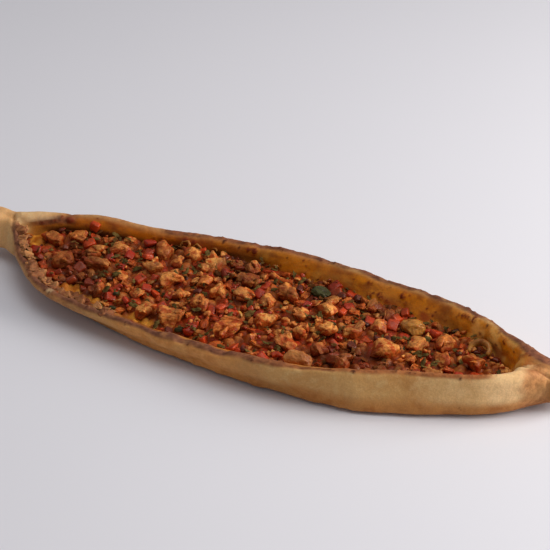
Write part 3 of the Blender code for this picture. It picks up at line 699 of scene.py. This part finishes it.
class Bed:
    """A height map of the hollow, seen from above, that pieces are dropped on one by one."""

    def __init__(self, dough):
        faces = [face.vertices for face in dough.polygons]
        self.dough = BVHTree.FromPolygons([vertex.co for vertex in dough.vertices], faces)
        length = boat.open_to - boat.open_from + 12 * MM
        self.xs = boat.open_from - 6 * MM + CELL * np.arange(int(length / CELL))
        self.ys = boat.low.y + CELL * np.arange(int((boat.high.y - boat.low.y) / CELL))
        dough_top = self.tops(self.dough)
        self.level = self.smooth_level()
        gx, gy = np.meshgrid(self.xs, self.ys, indexing='ij')
        between = (gy > boat.at("crest_near", gx)) & (gy < boat.at("crest_far", gx))
        along = (gx > boat.open_from) & (gx < boat.open_to)
        self.is_open = between & along & (dough_top < self.level - 0.5 * MM)
        self.gap = self.wall_gap(gx, gy)
        heaped = ease(-gx, 0.02, 0.08) * ease(16 * MM - boat.at("lip_far", gx) + gy, 0.0, 11 * MM)
        self.level = self.level + 2.0 * MM * heaped
        self.core = self.level - CORE_DROP - GAP_DROP * self.gap
        self.top = np.maximum(self.core, dough_top)

    def tops(self, tree, i=slice(None), j=slice(None)):
        return np.array([[top_of(tree, x, y) for y in self.ys[j]] for x in self.xs[i]])

    def smooth_level(self):
        """The filling's surface without the sockets in it, carried on past its edges."""
        level = self.tops(tree_of("filling")).clip(0.0)
        level = around(level, 9 * MM, np.max)
        for _ in range(3):
            level = around(level, 4 * MM, np.mean)
        return level - 0.6 * MM

    def wall_gap(self, x, y):
        """1 in the dark gap that the filling leaves along the standing wall, on the left half of the boat."""
        broken = np.array([wave(a * 45, 7.0, 0.0) for a in self.xs])[:, None]
        reach = 3.0 * MM * ease(broken, -0.55, 0.0)
        from_wall = boat.at("lip_far", x) - y
        return span(x, -0.170, -0.160, -0.045, -0.010) * (1 - ease(from_wall, 0.55 * reach, reach + 1 * MM))

    def window(self, x, y, reach):
        """The map's rows and columns around a place."""
        return [slice(max(0, int((at - reach - line[0]) / CELL)), int((at + reach - line[0]) / CELL) + 2)
                for at, line in ((x, self.xs), (y, self.ys))]

    def rest(self, x, y, half, turn):
        """Centre height at which a rounded block would touch what lies below it, and its footprint."""
        i, j = self.window(x, y, max(half[0], half[1]))
        gx, gy = np.meshgrid(self.xs[i] - x, self.ys[j] - y, indexing='ij')
        c, s = math.cos(turn), math.sin(turn)
        reach = ((gx * c + gy * s) / half[0]) ** 2 + ((-gx * s + gy * c) / half[1]) ** 2
        under = reach < 0.95
        if not under.any():
            return None
        bulge = half[2] * np.sqrt(1 - np.clip(reach, 0, 0.95) ** 2)
        floor = np.where(under, self.top[i, j] + bulge, -1.0)
        return float(floor.max()), (i, j, under, bulge)

    def cover(self, z, footprint):
        i, j, under, bulge = footprint
        part = self.top[i, j]
        part[under] = np.maximum(part[under], (z + bulge)[under])

    def cover_node(self, node):
        """Raises the map to the top of a CAD piece."""
        low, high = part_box(node)
        reach = max(high.x - low.x, high.y - low.y) / 2
        i, j = self.window((low.x + high.x) / 2, (low.y + high.y) / 2, reach)
        self.top[i, j] = np.maximum(self.top[i, j], self.tops(tree_of(node), i, j))

    def bareness(self, x, y):
        """1 on the patches of oily dough that nothing lies on."""
        bare = np.zeros(len(x))
        wander = 0.25 * np.array([wave(a * 140, b * 140, 2) for a, b in zip(x, y)])
        for share, side, reach, depth in BARE_PATCHES:
            cx = boat.along(share)
            near = boat.at("lip_near", cx)
            cy = near + side * (boat.at("lip_far", cx) - near)
            slope = (boat.at("lip_near", cx + 5 * MM) - boat.at("lip_near", cx - 5 * MM)) / (10 * MM)
            off = y - cy - slope * (x - cx)
            far = np.sqrt(((x - cx) / reach) ** 2 + (off / depth) ** 2) + wander
            bare = np.maximum(bare, 1 - ease(far, 0.75, 1.1))
        return bare

    def open_places(self):
        places = np.argwhere(self.is_open)
        bare = self.bareness(self.xs[places[:, 0]], self.ys[places[:, 1]])
        return places[(bare < 0.4) & (self.gap[places[:, 0], places[:, 1]] < 0.5)]


def wall_shade(points):
    """1 where the filling lies dark along the foot of the standing wall, on the left and in the middle."""
    x, y, z = points.T
    broken = ease(swell(points, 60.0, 3.0, (1, 0.3, 0.3)), -0.7, -0.15)
    deep = ease(boat.at("top_far", x) - z, 6.5 * MM, 9.0 * MM)
    near_wall = ease(8 * MM - boat.at("lip_far", x) + y, 0.0, 5.5 * MM)
    return 0.85 * span(x, -0.168, -0.155, -0.035, 0.010) * broken * deep * near_wall


def make_core(bed):
    """The cooked-down mass that everything lies in: a slab with a crumbly top, a little into the dough."""
    inside = around(bed.is_open, 2 * CELL, np.max)
    chosen = np.argwhere(inside)
    count = len(chosen)
    index = np.full(inside.shape, -1)
    index[inside] = np.arange(count)
    flat = np.column_stack((bed.xs[chosen[:, 0]], bed.ys[chosen[:, 1]], np.zeros(count)))
    warp = 0.8 * MM * np.column_stack([swell(flat, 200.0, k) for k in range(3)])
    near, seam, kind = cells(flat + warp, 150.0)
    crumbs = 1.9 * MM * (1 - ease(near, 0.1, 0.8)) * (1 + 1.2 * kind) - 0.9 * MM * seam \
        + 0.5 * MM * swell(flat, 330.0) + 1.4 * MM * swell(flat, 80.0)
    slab = np.vstack((flat, flat))
    slab[:, 2] = np.concatenate((bed.core[inside] + crumbs - 0.5 * MM, bed.core[inside] - CORE_THICKNESS))

    # Faces of the top, of the outline and of the underside. Points that no face uses go.
    last_i, last_j = np.array(inside.shape) - 1
    rings = ((index[i, j], index[i + 1, j], index[i + 1, j + 1], index[i, j + 1])
             for i, j in chosen if i < last_i and j < last_j)
    faces = [ring for ring in rings if min(ring) >= 0]
    edges = dict.fromkeys(edge for a, b, c, d in faces for edge in ((a, b), (b, c), (c, d), (d, a)))
    walls = [(b, a, a + count, b + count) for a, b in edges if (b, a) not in edges]
    under = [tuple(v + count for v in ring[::-1]) for ring in faces]
    data = bpy.data.meshes.new("sauce")
    data.from_pydata(slab.tolist(), [], faces + walls + under)
    data.validate()
    mesh = bmesh.new()
    mesh.from_mesh(data)
    kept = [v.index for v in mesh.verts if v.link_faces]
    bmesh.ops.delete(mesh, geom=[v for v in mesh.verts if not v.link_faces], context='VERTS')
    mesh.to_mesh(data)
    mesh.free()

    points = vertex_array(data)
    gap, seam, kind = (np.tile(values, 2)[kept] for values in (bed.gap[inside], seam, kind))
    pits = 0.7 * ease(-swell(points, 140.0, 6.0), 0.1, 0.6)
    # Painted shade: the gap along the standing wall and the seams between crumbs are darker, and pits are
    # darker spots.
    set_values(data, crease=np.maximum.reduce((gap, 0.8 * seam, pits)),
               meat=ease(kind, 0.0, 0.08) * (1 - seam), red=ease(-kind, 0.06, 0.14) * (1 - seam),
               bare=bed.bareness(points[:, 0], points[:, 1]), shade=wall_shade(points))
    bed.top = np.maximum(bed.top, bed.core)
    finish_piece(new_object("sauce", data), sauce_look(), "filling", "filling")


# ---- topping shapes

class Heap:
    """Many separate bits of one kind, joined into one mesh."""

    def __init__(self, name):
        self.name = name
        self.points = []
        self.faces = []
        self.values = {"tone": [], "crease": [], "crown": []}
        self.count = 0

    def put(self, shape, matrix, tone):
        points, faces, crease = shape
        # Painted shade: the underside of each piece is darker.
        underside = 0.36 * ease(points[:, 2] / points[:, 2].min(), 0.0, 0.85)
        placed_points = points @ np.array(matrix.to_3x3()).T + np.array(matrix.translation)
        height = placed_points[:, 2]
        self.points.append(placed_points)
        self.faces.append(faces + self.count)
        self.count += len(points)
        self.values["tone"].append(np.full(len(points), tone))
        self.values["crease"].append(np.maximum(crease, underside))
        self.values["crown"].append((height - height.min()) / np.ptp(height))

    def build(self, look, slot, *nodes):
        points = np.vstack(self.points)
        data = bpy.data.meshes.new(self.name)
        data.from_pydata(points.tolist(), [], np.vstack(self.faces).tolist())
        set_values(data, shade=wall_shade(points))
        set_values(data, **{key: np.concatenate(parts) for key, parts in self.values.items()})
        return finish_piece(new_object(self.name, data), look, slot, *nodes)


def ball_shape(subdivisions):
    """Unit directions and triangles of an icosphere."""
    mesh = bmesh.new()
    bmesh.ops.create_icosphere(mesh, subdivisions=subdivisions, radius=1.0)
    points = np.array([v.co[:] for v in mesh.verts])
    faces = np.array([[v.index for v in f.verts] for f in mesh.faces])
    mesh.free()
    return points / np.linalg.norm(points, axis=1)[:, None], faces


def any_shift(draw):
    return np.array([draw.uniform(0, 90) for _ in range(3)])


def cut_lump(subdivisions, draw, blocky, cuts, depth, dents):
    """A unit lump with flat knife cuts and dents: unit directions, points and faces."""
    ways, faces = ball_shape(subdivisions)
    points = np.sign(ways) * np.abs(ways) ** blocky
    for _ in range(cuts):
        normal = np.array([draw.gauss(0, 1) for _ in range(3)])
        normal /= np.linalg.norm(normal)
        along = points @ normal
        over = np.clip(along - draw.uniform(*depth) * along.max(), 0, None)
        points = points - np.outer(0.88 * over, normal)
    shift = any_shift(draw)
    points = points * (1 + dents * swell(ways, 1.6, shift) + 0.4 * dents * swell(ways, 4.2, shift))[:, None]
    low, high = points.min(0), points.max(0)
    return ways, (2 * points - low - high) / (high - low), faces


def torn_block(subdivisions, half, draw, clefts, cleft_size, fibre, blocky=0.72, cuts=8):
    """A cut piece of the given half sizes with clefts and with fibres along its own X."""
    ways, points, faces = cut_lump(subdivisions, draw, blocky, cuts, (0.45, 0.85), 0.15)
    points = points * np.array(half)
    shift = any_shift(draw)
    warped = points + 0.8 * MM * np.column_stack([swell(points, 260.0, shift + k) for k in range(3)])
    seam = cells(warped * np.array((0.5, 1, 1)), 1 / cleft_size, shift)[1]
    gap = seam * ease(swell(points, 130.0, shift), -0.1, 0.45)
    rough = swell(points, 380.0, shift)
    strands = swell(points, 430.0, shift, (0.22, 1, 1))
    inward = clefts * gap - 1.3 * fibre * strands - 0.7 * fibre * rough
    crease = np.clip(0.7 * gap + 0.3 * ease(-strands, 0.1, 0.5), 0, 1)
    return points - ways * inward[:, None], faces, crease


def shredded(heap, fineness, half, draw, place, tone):
    """A chunk as a torn block with strands of the same meat lying along it."""
    clefts = draw.uniform(0.3, 0.8) * MM
    cleft_size = draw.uniform(5.0, 8.0) * MM
    heap.put(torn_block(fineness, [0.93 * h for h in half], draw, clefts, cleft_size, 0.36 * MM), place, tone)
    for _ in range(draw.randint(1, 3)):
        angle = draw.uniform(0, 2 * math.pi)
        size = draw.uniform(0.42, 0.68)
        strand = [size * half[0] * draw.uniform(0.9, 1.4), size * half[1] * 0.85, size * half[2]]
        at = Vector((0.55 * half[0] * math.cos(angle), 0.62 * half[1] * math.sin(angle),
                     half[2] * draw.uniform(0.0, 0.5)))
        own_place = placed(at, (draw.uniform(-0.5, 0.5), draw.uniform(-0.4, 0.4), draw.gauss(0, 0.5)))
        shape = torn_block(fineness - 1, strand, draw, clefts, cleft_size, 0.32 * MM)
        heap.put(shape, place @ own_place, min(1.0, max(0.0, tone + draw.uniform(-0.3, 0.3))))


def own_axes(node):
    """Centre, turn and half sizes of a CAD piece, longest first; the third is its half height."""
    points = vertex_array(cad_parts[node].data)
    centre = 0.5 * (points.max(0) + points.min(0))
    flat = points[:, :2] - centre[:2]
    along = np.linalg.eigh(flat.T @ flat)[1][:, 1]
    turn = math.atan2(along[1], along[0])
    c, s = math.cos(turn), math.sin(turn)
    sides = (flat @ np.array((c, s)), flat @ np.array((-s, c)), points[:, 2])
    return Vector(centre), turn, [0.5 * np.ptp(side) for side in sides]


def make_chicken_chunks(bed, look):
    """The berry-sized chunks, each where its CAD solid is."""
    heap = Heap("chicken_chunks")
    draw = random.Random(SEED + 1)
    names = sorted(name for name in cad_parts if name.startswith("chicken_") and name != "chicken_dome")
    for name in names:
        centre, turn, half = own_axes(name)
        place = placed(centre, (draw.uniform(-0.16, 0.16), draw.uniform(-0.16, 0.16), turn))
        shredded(heap, 5 if half[0] > BIG_CHUNK else 4, half, draw, place, draw.uniform(0, 1))
        bed.cover_node(name)
    heap.build(look, "chicken", *names)


def make_smooth_piece(bed, node, name, look, slot, mark, draw, skin):
    """One smooth piece where its CAD solid is, with a vertex value that marks its looks."""
    centre, turn, half = own_axes(node)
    tone, *surface = skin
    heap = Heap(name)
    heap.put(torn_block(5, half, draw, *surface), placed(centre, (0, 0, turn)), tone)
    made = heap.build(look, slot, node)
    set_values(made.data, **{mark: np.ones(heap.count)})
    bed.cover_node(node)


def make_pepper_strip(bed, look):
    """The strip of a ring that the CAD names, a little swollen."""
    mesh = clean_copy("pepper_ring")
    bmesh.ops.subdivide_edges(mesh, edges=mesh.edges, cuts=1, smooth=0.6)
    made = new_object("pepper_strip", mesh_data("pepper_strip", mesh))
    made.modifiers.new("soft", 'SUBSURF').levels = 1
    with_modifiers(made)
    points = vertex_array(made.data)
    push = 0.45 * MM + 0.35 * MM * swell(points, 300.0)
    set_vertices(made.data, points + vertex_array(made.data, "normal") * push[:, None])
    crease = 0.4 * ease(swell(points, 260.0, 2.0), 0.0, 0.5)
    set_values(made.data, tone=np.full(len(points), 0.3), crease=crease)
    finish_piece(made, look, "yellow_pepper", "pepper_ring")
    bed.cover_node("pepper_ring")


# ---- strewn toppings

def unit_dice(draw, kinds, blocky=0.36):
    """Knife-cut dice of unit half size."""
    out = []
    for _ in range(kinds):
        _, points, faces = cut_lump(3, draw, blocky, 3, (0.6, 0.95), 0.13)
        out.append((points, faces, 0.5 * ease(-swell(points, 1.3, draw.uniform(0, 50)), 0.0, 0.5)))
    return out


def unit_bits(draw, kinds, subdivisions=3):
    """Torn bits of chicken, tomato or dough of unit half size."""
    out = []
    for _ in range(kinds):
        ways, points, faces = cut_lump(subdivisions, draw, 0.6, 7, (0.4, 0.85), 0.3)
        seam = cells(points * np.array((0.6, 1, 1)), 1.1, draw.uniform(0, 90), 0.3)[1]
        strands = swell(points, 3.4, draw.uniform(0, 90), (0.3, 1, 1))
        out.append((points - ways * (0.14 * seam + 0.10 * strands)[:, None], faces, 0.6 * seam))
    return out


def leaf(draw):
    """A crumpled flake of leaf of unit half size: a thin closed pad with a torn outline."""
    rings, spokes = 3, 13
    seed = draw.uniform(0, 90)
    flat = [np.zeros(3)]
    for r in range(1, rings + 1):
        for k in range(spokes):
            c, s = math.cos(2 * math.pi * k / spokes), math.sin(2 * math.pi * k / spokes)
            edge = 1 + 0.5 * wave(2.2 * c, 2.2 * s, seed) + 0.4 * wave(5.5 * c, 5.5 * s, seed)
            reach = edge * r / rings
            flat.append(np.array((reach * c, 0.75 * reach * s, 0.0)))
    flat = np.array(flat)
    curled = 0.45 * swell(flat, 1.1, seed) + 0.12 * swell(flat, 3.5, seed)
    thick = 0.07 * (1 - 0.7 * (flat[:, 0] ** 2 + flat[:, 1] ** 2).clip(0, 1))
    points = np.vstack((flat, flat))
    points[:, 2] = np.concatenate((curled + thick, curled - thick))
    count = len(flat)
    upper = []
    rim = []
    for k in range(spokes):
        j = (k + 1) % spokes
        upper.append((0, 1 + k, 1 + j))
        for r in range(rings - 1):
            a, b = 1 + r * spokes + k, 1 + r * spokes + j
            upper += [(a, a + spokes, b + spokes), (a, b + spokes, b)]
        a, b = 1 + (rings - 1) * spokes + k, 1 + (rings - 1) * spokes + j
        rim += [(b, a, a + count), (b, a + count, b + count)]
    under = [(c + count, b + count, a + count) for a, b, c in upper]
    return points, np.array(upper + under + rim), 0.6 * ease(-np.tile(curled, 2), 0.0, 0.3)


def onion_slip(draw):
    """A curved slip of onion of unit half size."""
    ways, faces = ball_shape(3)
    seed = draw.uniform(0, 90)
    points = np.sign(ways) * np.abs(ways) ** 0.75 * np.array((1.0, 0.55, 0.22))
    points[:, 2] += 0.35 * (1 - points[:, 0] ** 2) - 0.15 * points[:, 1] ** 2
    points = points * (1 + 0.12 * swell(ways, 1.6, seed))[:, None]
    return points, faces, 0.4 * ease(swell(ways, 1.4, seed), 0.0, 0.6)


def onion_curl(draw):
    """A curled ring of onion of unit half size, open on one side, thinner than it is deep."""
    steps, sides = 22, 8
    opening = draw.uniform(0.5, 1.6)
    seed = draw.uniform(0, 90)
    points = []
    for i in range(steps + 1):
        angle = opening + (2 * math.pi - opening) * i / steps
        c, s = math.cos(angle), math.sin(angle)
        out = 0.82 * (1 + 0.34 * wave(1.3 * c, 1.3 * s, seed))
        taper = 0.4 + 0.6 * math.sin(math.pi * i / steps) ** 0.4
        for k in range(sides):
            turn = 2 * math.pi * k / sides
            reach = out + 0.26 * taper * math.cos(turn)
            points.append((reach * c, reach * s, 0.42 * taper * math.sin(turn)))
    faces = []
    for i in range(steps):
        for k in range(sides):
            a, b = i * sides + k, i * sides + (k + 1) % sides
            faces += [(a, b, b + sides), (a, b + sides, a + sides)]
    for start, order in ((0, -1), (steps * sides, 1)):
        faces += [(start, start + k, start + k + 1)[::-order] for k in range(1, sides - 1)]
    points = np.array(points)
    return points, np.array(faces), 0.3 * ease(swell(points, 1.5, seed), 0.0, 0.5)


def gathered(place_map, least=0.2):
    """A chance that goes up and down from place to place, so that a kind gathers here and there."""
    def chance(x, y):
        return least + (1 - least) * float(ease(wave(x * 50, y * 70, place_map), -0.25, 0.3))
    return chance


def clumped(bed, count, draw):
    """A chance that is high only around a number of random places."""
    places = bed.open_places()
    middles = [(bed.xs[i], bed.ys[j]) for i, j in (places[draw.randrange(len(places))] for _ in range(count))]

    def chance(x, y):
        return 1.0 if min(abs(x - cx) + abs(y - cy) for cx, cy in middles) < 4.2 * MM else 0.05
    return chance


def strew(bed, heap, layer, shapes, draw, chance=None):
    """Drops pieces one at a time, each on the lowest of a few random places."""
    places = bed.open_places()
    for _ in range(layer.count):
        size = draw.uniform(layer.least * MM, layer.most * MM)
        half = (0.5 * size, 0.5 * size * layer.wide * draw.uniform(0.58, 1.0),
                0.5 * size * layer.thick * draw.uniform(0.75, 1.0))
        best = None
        for _ in range(layer.tries):
            i, j = places[draw.randrange(len(places))]
            x = bed.xs[i] + draw.uniform(-0.5, 0.5) * CELL
            y = bed.ys[j] + draw.uniform(-0.5, 0.5) * CELL
            if chance and draw.random() > chance(x, y):
                continue
            turn = draw.uniform(0, math.pi)
            found = bed.rest(x, y, half, turn)
            if found and (best is None or found[0] - bed.level[i, j] < best[0]):
                best = (found[0] - bed.level[i, j], *found, x, y, turn)
        if best is None or best[0] + half[2] > layer.highest * MM:
            continue
        _, z, footprint, x, y, turn = best
        z -= layer.sunk * 2 * half[2]
        bed.cover(z, footprint)
        lean = (draw.uniform(-layer.tilt, layer.tilt), draw.uniform(-layer.tilt, layer.tilt), turn)
        place = placed((x, y, z), lean, half)
        heap.put(draw.choice(shapes), place, draw.uniform(0, 1))


def make_strewn(bed, name, layer, shapes, draw, look, slot, chance=None):
    heap = Heap(name)
    strew(bed, heap, layer, shapes, draw, chance)
    heap.build(look, slot)


def wall_place(bed, share, drop):
    """A point on the standing wall's inner face."""
    x = boat.along(share)
    start = Vector((x, 0.5 * (boat.at("lip_near", x) + boat.at("lip_far", x)), boat.at("top_far", x) - drop))
    return bed.dough.ray_cast(start, TO_WALL)[0]


def make_dough_flakes(bed):
    """Torn flakes of baked dough along the inside of the low rim, on the left."""
    draw = random.Random(SEED + 6)
    look = wet_look("torn_dough", (198, 138, 84), (140, 84, 52), (98, 56, 40), roughness=0.6, coat=0.0,
                    scatter=0.15, skin=220, shine=0.2)
    shapes = unit_bits(draw, 8)
    heap = Heap("dough_flakes")
    for _ in range(DOUGH_FLAKES):
        x = draw.uniform(FLAKES_FROM, FLAKES_TO)
        y = boat.at("crest_near", x) + draw.uniform(1.8, 8.5) * MM
        length = 0.5 * draw.uniform(4.5, 12.0) * MM
        half = (length, 0.7 * length, 0.35 * length)
        found = bed.rest(x, y, half, 0.0)
        if found is None:
            continue
        z = max(found[0], top_of(bed.dough, x, y) + 0.35 * length) - 0.55 * length
        lean = (draw.uniform(-0.5, 0.5), draw.uniform(-0.5, 0.5), draw.uniform(0, 6.3))
        heap.put(draw.choice(shapes), placed((x, y, z), lean, half), draw.uniform(0, 1))
    heap.build(look, "crust")


def make_bits_and_tomato(bed, draw, chicken, red):
    """Chicken bits and tomato dice, large ones first, and one dice stuck to the wall, clear of the oil."""
    bits = Heap("chicken_bits")
    tomato = Heap("tomato_dice")
    strew(bed, bits, LARGE_BITS, unit_bits(draw, 10, 4), draw, gathered(CHICKEN_MAP))
    dice = unit_dice(draw, 12)
    strew(bed, tomato, LARGE_TOMATO, dice, draw, gathered(TOMATO_MAP, 0.35))
    strew(bed, bits, SMALL_BITS, unit_bits(draw, 10), draw, gathered(CHICKEN_MAP, 0.4))
    strew(bed, tomato, SMALL_TOMATO, dice, draw, gathered(TOMATO_MAP, 0.4))
    bits.build(chicken, "chicken")
    soaked_count = tomato.count
    share, drop, half = STUCK_TOMATO
    tomato.put(draw.choice(dice), placed(wall_place(bed, share, drop), (0, 0.3, 0), half), 0.1)
    made = tomato.build(red, "filling")
    set_values(made.data, clean=np.arange(tomato.count) >= soaked_count)


def make_onion(bed, draw, look):
    """Slips and curls in the filling, and curls stuck to the wall."""
    onion = Heap("onion_slips")
    strew(bed, onion, ONION_SLIPS, [onion_slip(draw) for _ in range(6)], draw)
    curls = [onion_curl(draw) for _ in range(4)]
    strew(bed, onion, ONION_CURLS, curls, draw)
    for share, drop, size in STUCK_ONION:
        place = placed(wall_place(bed, share, drop) + Vector((0, -0.4 * MM, 0)),
                       (math.radians(62), draw.uniform(-0.3, 0.3), draw.uniform(0, 6.3)),
                       (size, 0.8 * size, 0.7 * size), 'ZYX')
        onion.put(draw.choice(curls), place, 0.7)
    onion.build(look, "yellow_pepper")


def make_toppings(bed):
    """Everything in the hollow, from the most sunk to the loosest on top."""
    chicken = chicken_look()
    red = wet_look("tomato", (198, 72, 26), (150, 34, 14), (108, 26, 10))
    orange = wet_look("tomato_pulp", (204, 108, 40), (158, 48, 14), (116, 40, 12), roughness=0.42, coat=0.06,
                      skin=330, shine=0.2)
    maroon = wet_look("red_pepper", (110, 38, 20), (76, 24, 14), (38, 12, 8))
    green = wet_look("green_pepper", (64, 64, 26), (42, 42, 16), (22, 20, 8), roughness=0.38, coat=0.1,
                     scatter=0.1)
    yellow = wet_look("pale_pepper", (196, 138, 60), (158, 88, 28), (108, 54, 14))
    herb = wet_look("herbs", (112, 92, 46), (66, 54, 26), (38, 28, 12), roughness=0.6, coat=0.0, scatter=0.05,
                    skin=500, shine=0.08)

    # The pieces that the CAD names.
    draw = random.Random(SEED + 4)
    for node, name, look in (("green_pepper", "green_pepper_piece", green),
                             ("yellow_pepper", "pale_pepper_piece", yellow)):
        make_smooth_piece(bed, node, name, look, node, "clean", draw, PEPPER_SKIN)
    make_pepper_strip(bed, yellow)
    draw = random.Random(SEED + 3)
    make_smooth_piece(bed, "chicken_dome", "smooth_chicken", chicken, "chicken", "plain", draw, DOME_SKIN)
    make_chicken_chunks(bed, chicken)

    # The smaller ones, which are strewn.
    draw = random.Random(SEED + 2)
    make_strewn(bed, "tomato_pulp", PULP, unit_bits(draw, 12, 4), draw, orange, "filling")
    make_bits_and_tomato(bed, draw, chicken, red)
    make_strewn(bed, "red_pepper_dice", RED_PEPPER, unit_dice(draw, 6, 0.6), draw, maroon, "filling",
                gathered(PEPPER_MAP))
    make_strewn(bed, "green_pepper_dice", GREEN_PEPPER, unit_dice(draw, 6, 0.6), draw, green, "green_pepper")
    make_onion(bed, draw, yellow)
    make_strewn(bed, "chicken_crumbs", CHICKEN_CRUMBS, unit_bits(draw, 6, 2), draw, chicken, "chicken",
                gathered(CHICKEN_MAP))
    make_strewn(bed, "tomato_crumbs", TOMATO_CRUMBS, unit_bits(draw, 6, 2), draw, red, "filling",
                gathered(TOMATO_MAP))
    herbs = Heap("herb_flakes")
    leaves = [leaf(draw) for _ in range(12)]
    strew(bed, herbs, HERB_CLUMPS, leaves, draw, clumped(bed, 60, draw))
    strew(bed, herbs, LOOSE_HERBS, leaves, draw)
    herbs.build(herb, "filling")


# ---- floor, light, camera

def make_stage():
    """A plain pale floor."""
    mesh = bmesh.new()
    bmesh.ops.create_grid(mesh, x_segments=2, y_segments=2, size=4.0)
    data = mesh_data("floor", mesh)
    floor = new_object("floor", data)
    floor.location.z = cad_box[0][2]
    look = Look("floor_paper", roughness=0.7)
    look.plug(look.mix(look.noise(3, 2), *FLOOR_TONES), look.shader.inputs["Base Color"])
    data.materials.append(look.material)


def looking(azimuth, elevation, distance, target=Vector()):
    """Place and turn of a camera or light that looks at the target from this azimuth and elevation."""
    a, e = math.radians(azimuth), math.radians(elevation)
    back = Vector((math.sin(a) * math.cos(e), -math.cos(a) * math.cos(e), math.sin(e)))
    right = Vector((math.cos(a), math.sin(a), 0))
    place = Matrix((right, back.cross(right), back)).transposed().to_4x4()
    place.translation = target + back * distance
    return place


def make_camera():
    data = bpy.data.cameras.new("camera")
    data.lens = LENS
    data.sensor_width = SENSOR
    data.clip_end = 20
    camera = new_object("camera", data)
    camera.matrix_world = looking(AZIMUTH, ELEVATION, DISTANCE, AIM)
    bpy.context.scene.camera = camera


def softbox(name, azimuth, elevation, distance, size, power, colour):
    """A square area light turned to the pide."""
    data = bpy.data.lights.new(name, 'AREA')
    data.shape = 'SQUARE'
    data.size = size
    data.energy = power
    data.color = colour
    new_object(name, data).matrix_world = looking(azimuth, elevation, distance)


def make_lights():
    softbox("key", *KEY_LIGHT)
    softbox("overhead", *OVERHEAD_LIGHT)
    world = bpy.data.worlds.new("studio")
    world.use_nodes = True
    world.node_tree.nodes["Background"].inputs["Color"].default_value = SKY_TONE
    world.node_tree.nodes["Background"].inputs["Strength"].default_value = SKY_STRENGTH
    bpy.context.scene.world = world
    bpy.context.scene.view_settings.view_transform = 'Standard'


# ---- the scene


make_camera()
make_stage()
make_lights()
bed = Bed(make_dough().data)
make_core(bed)
make_dough_flakes(bed)
make_toppings(bed)
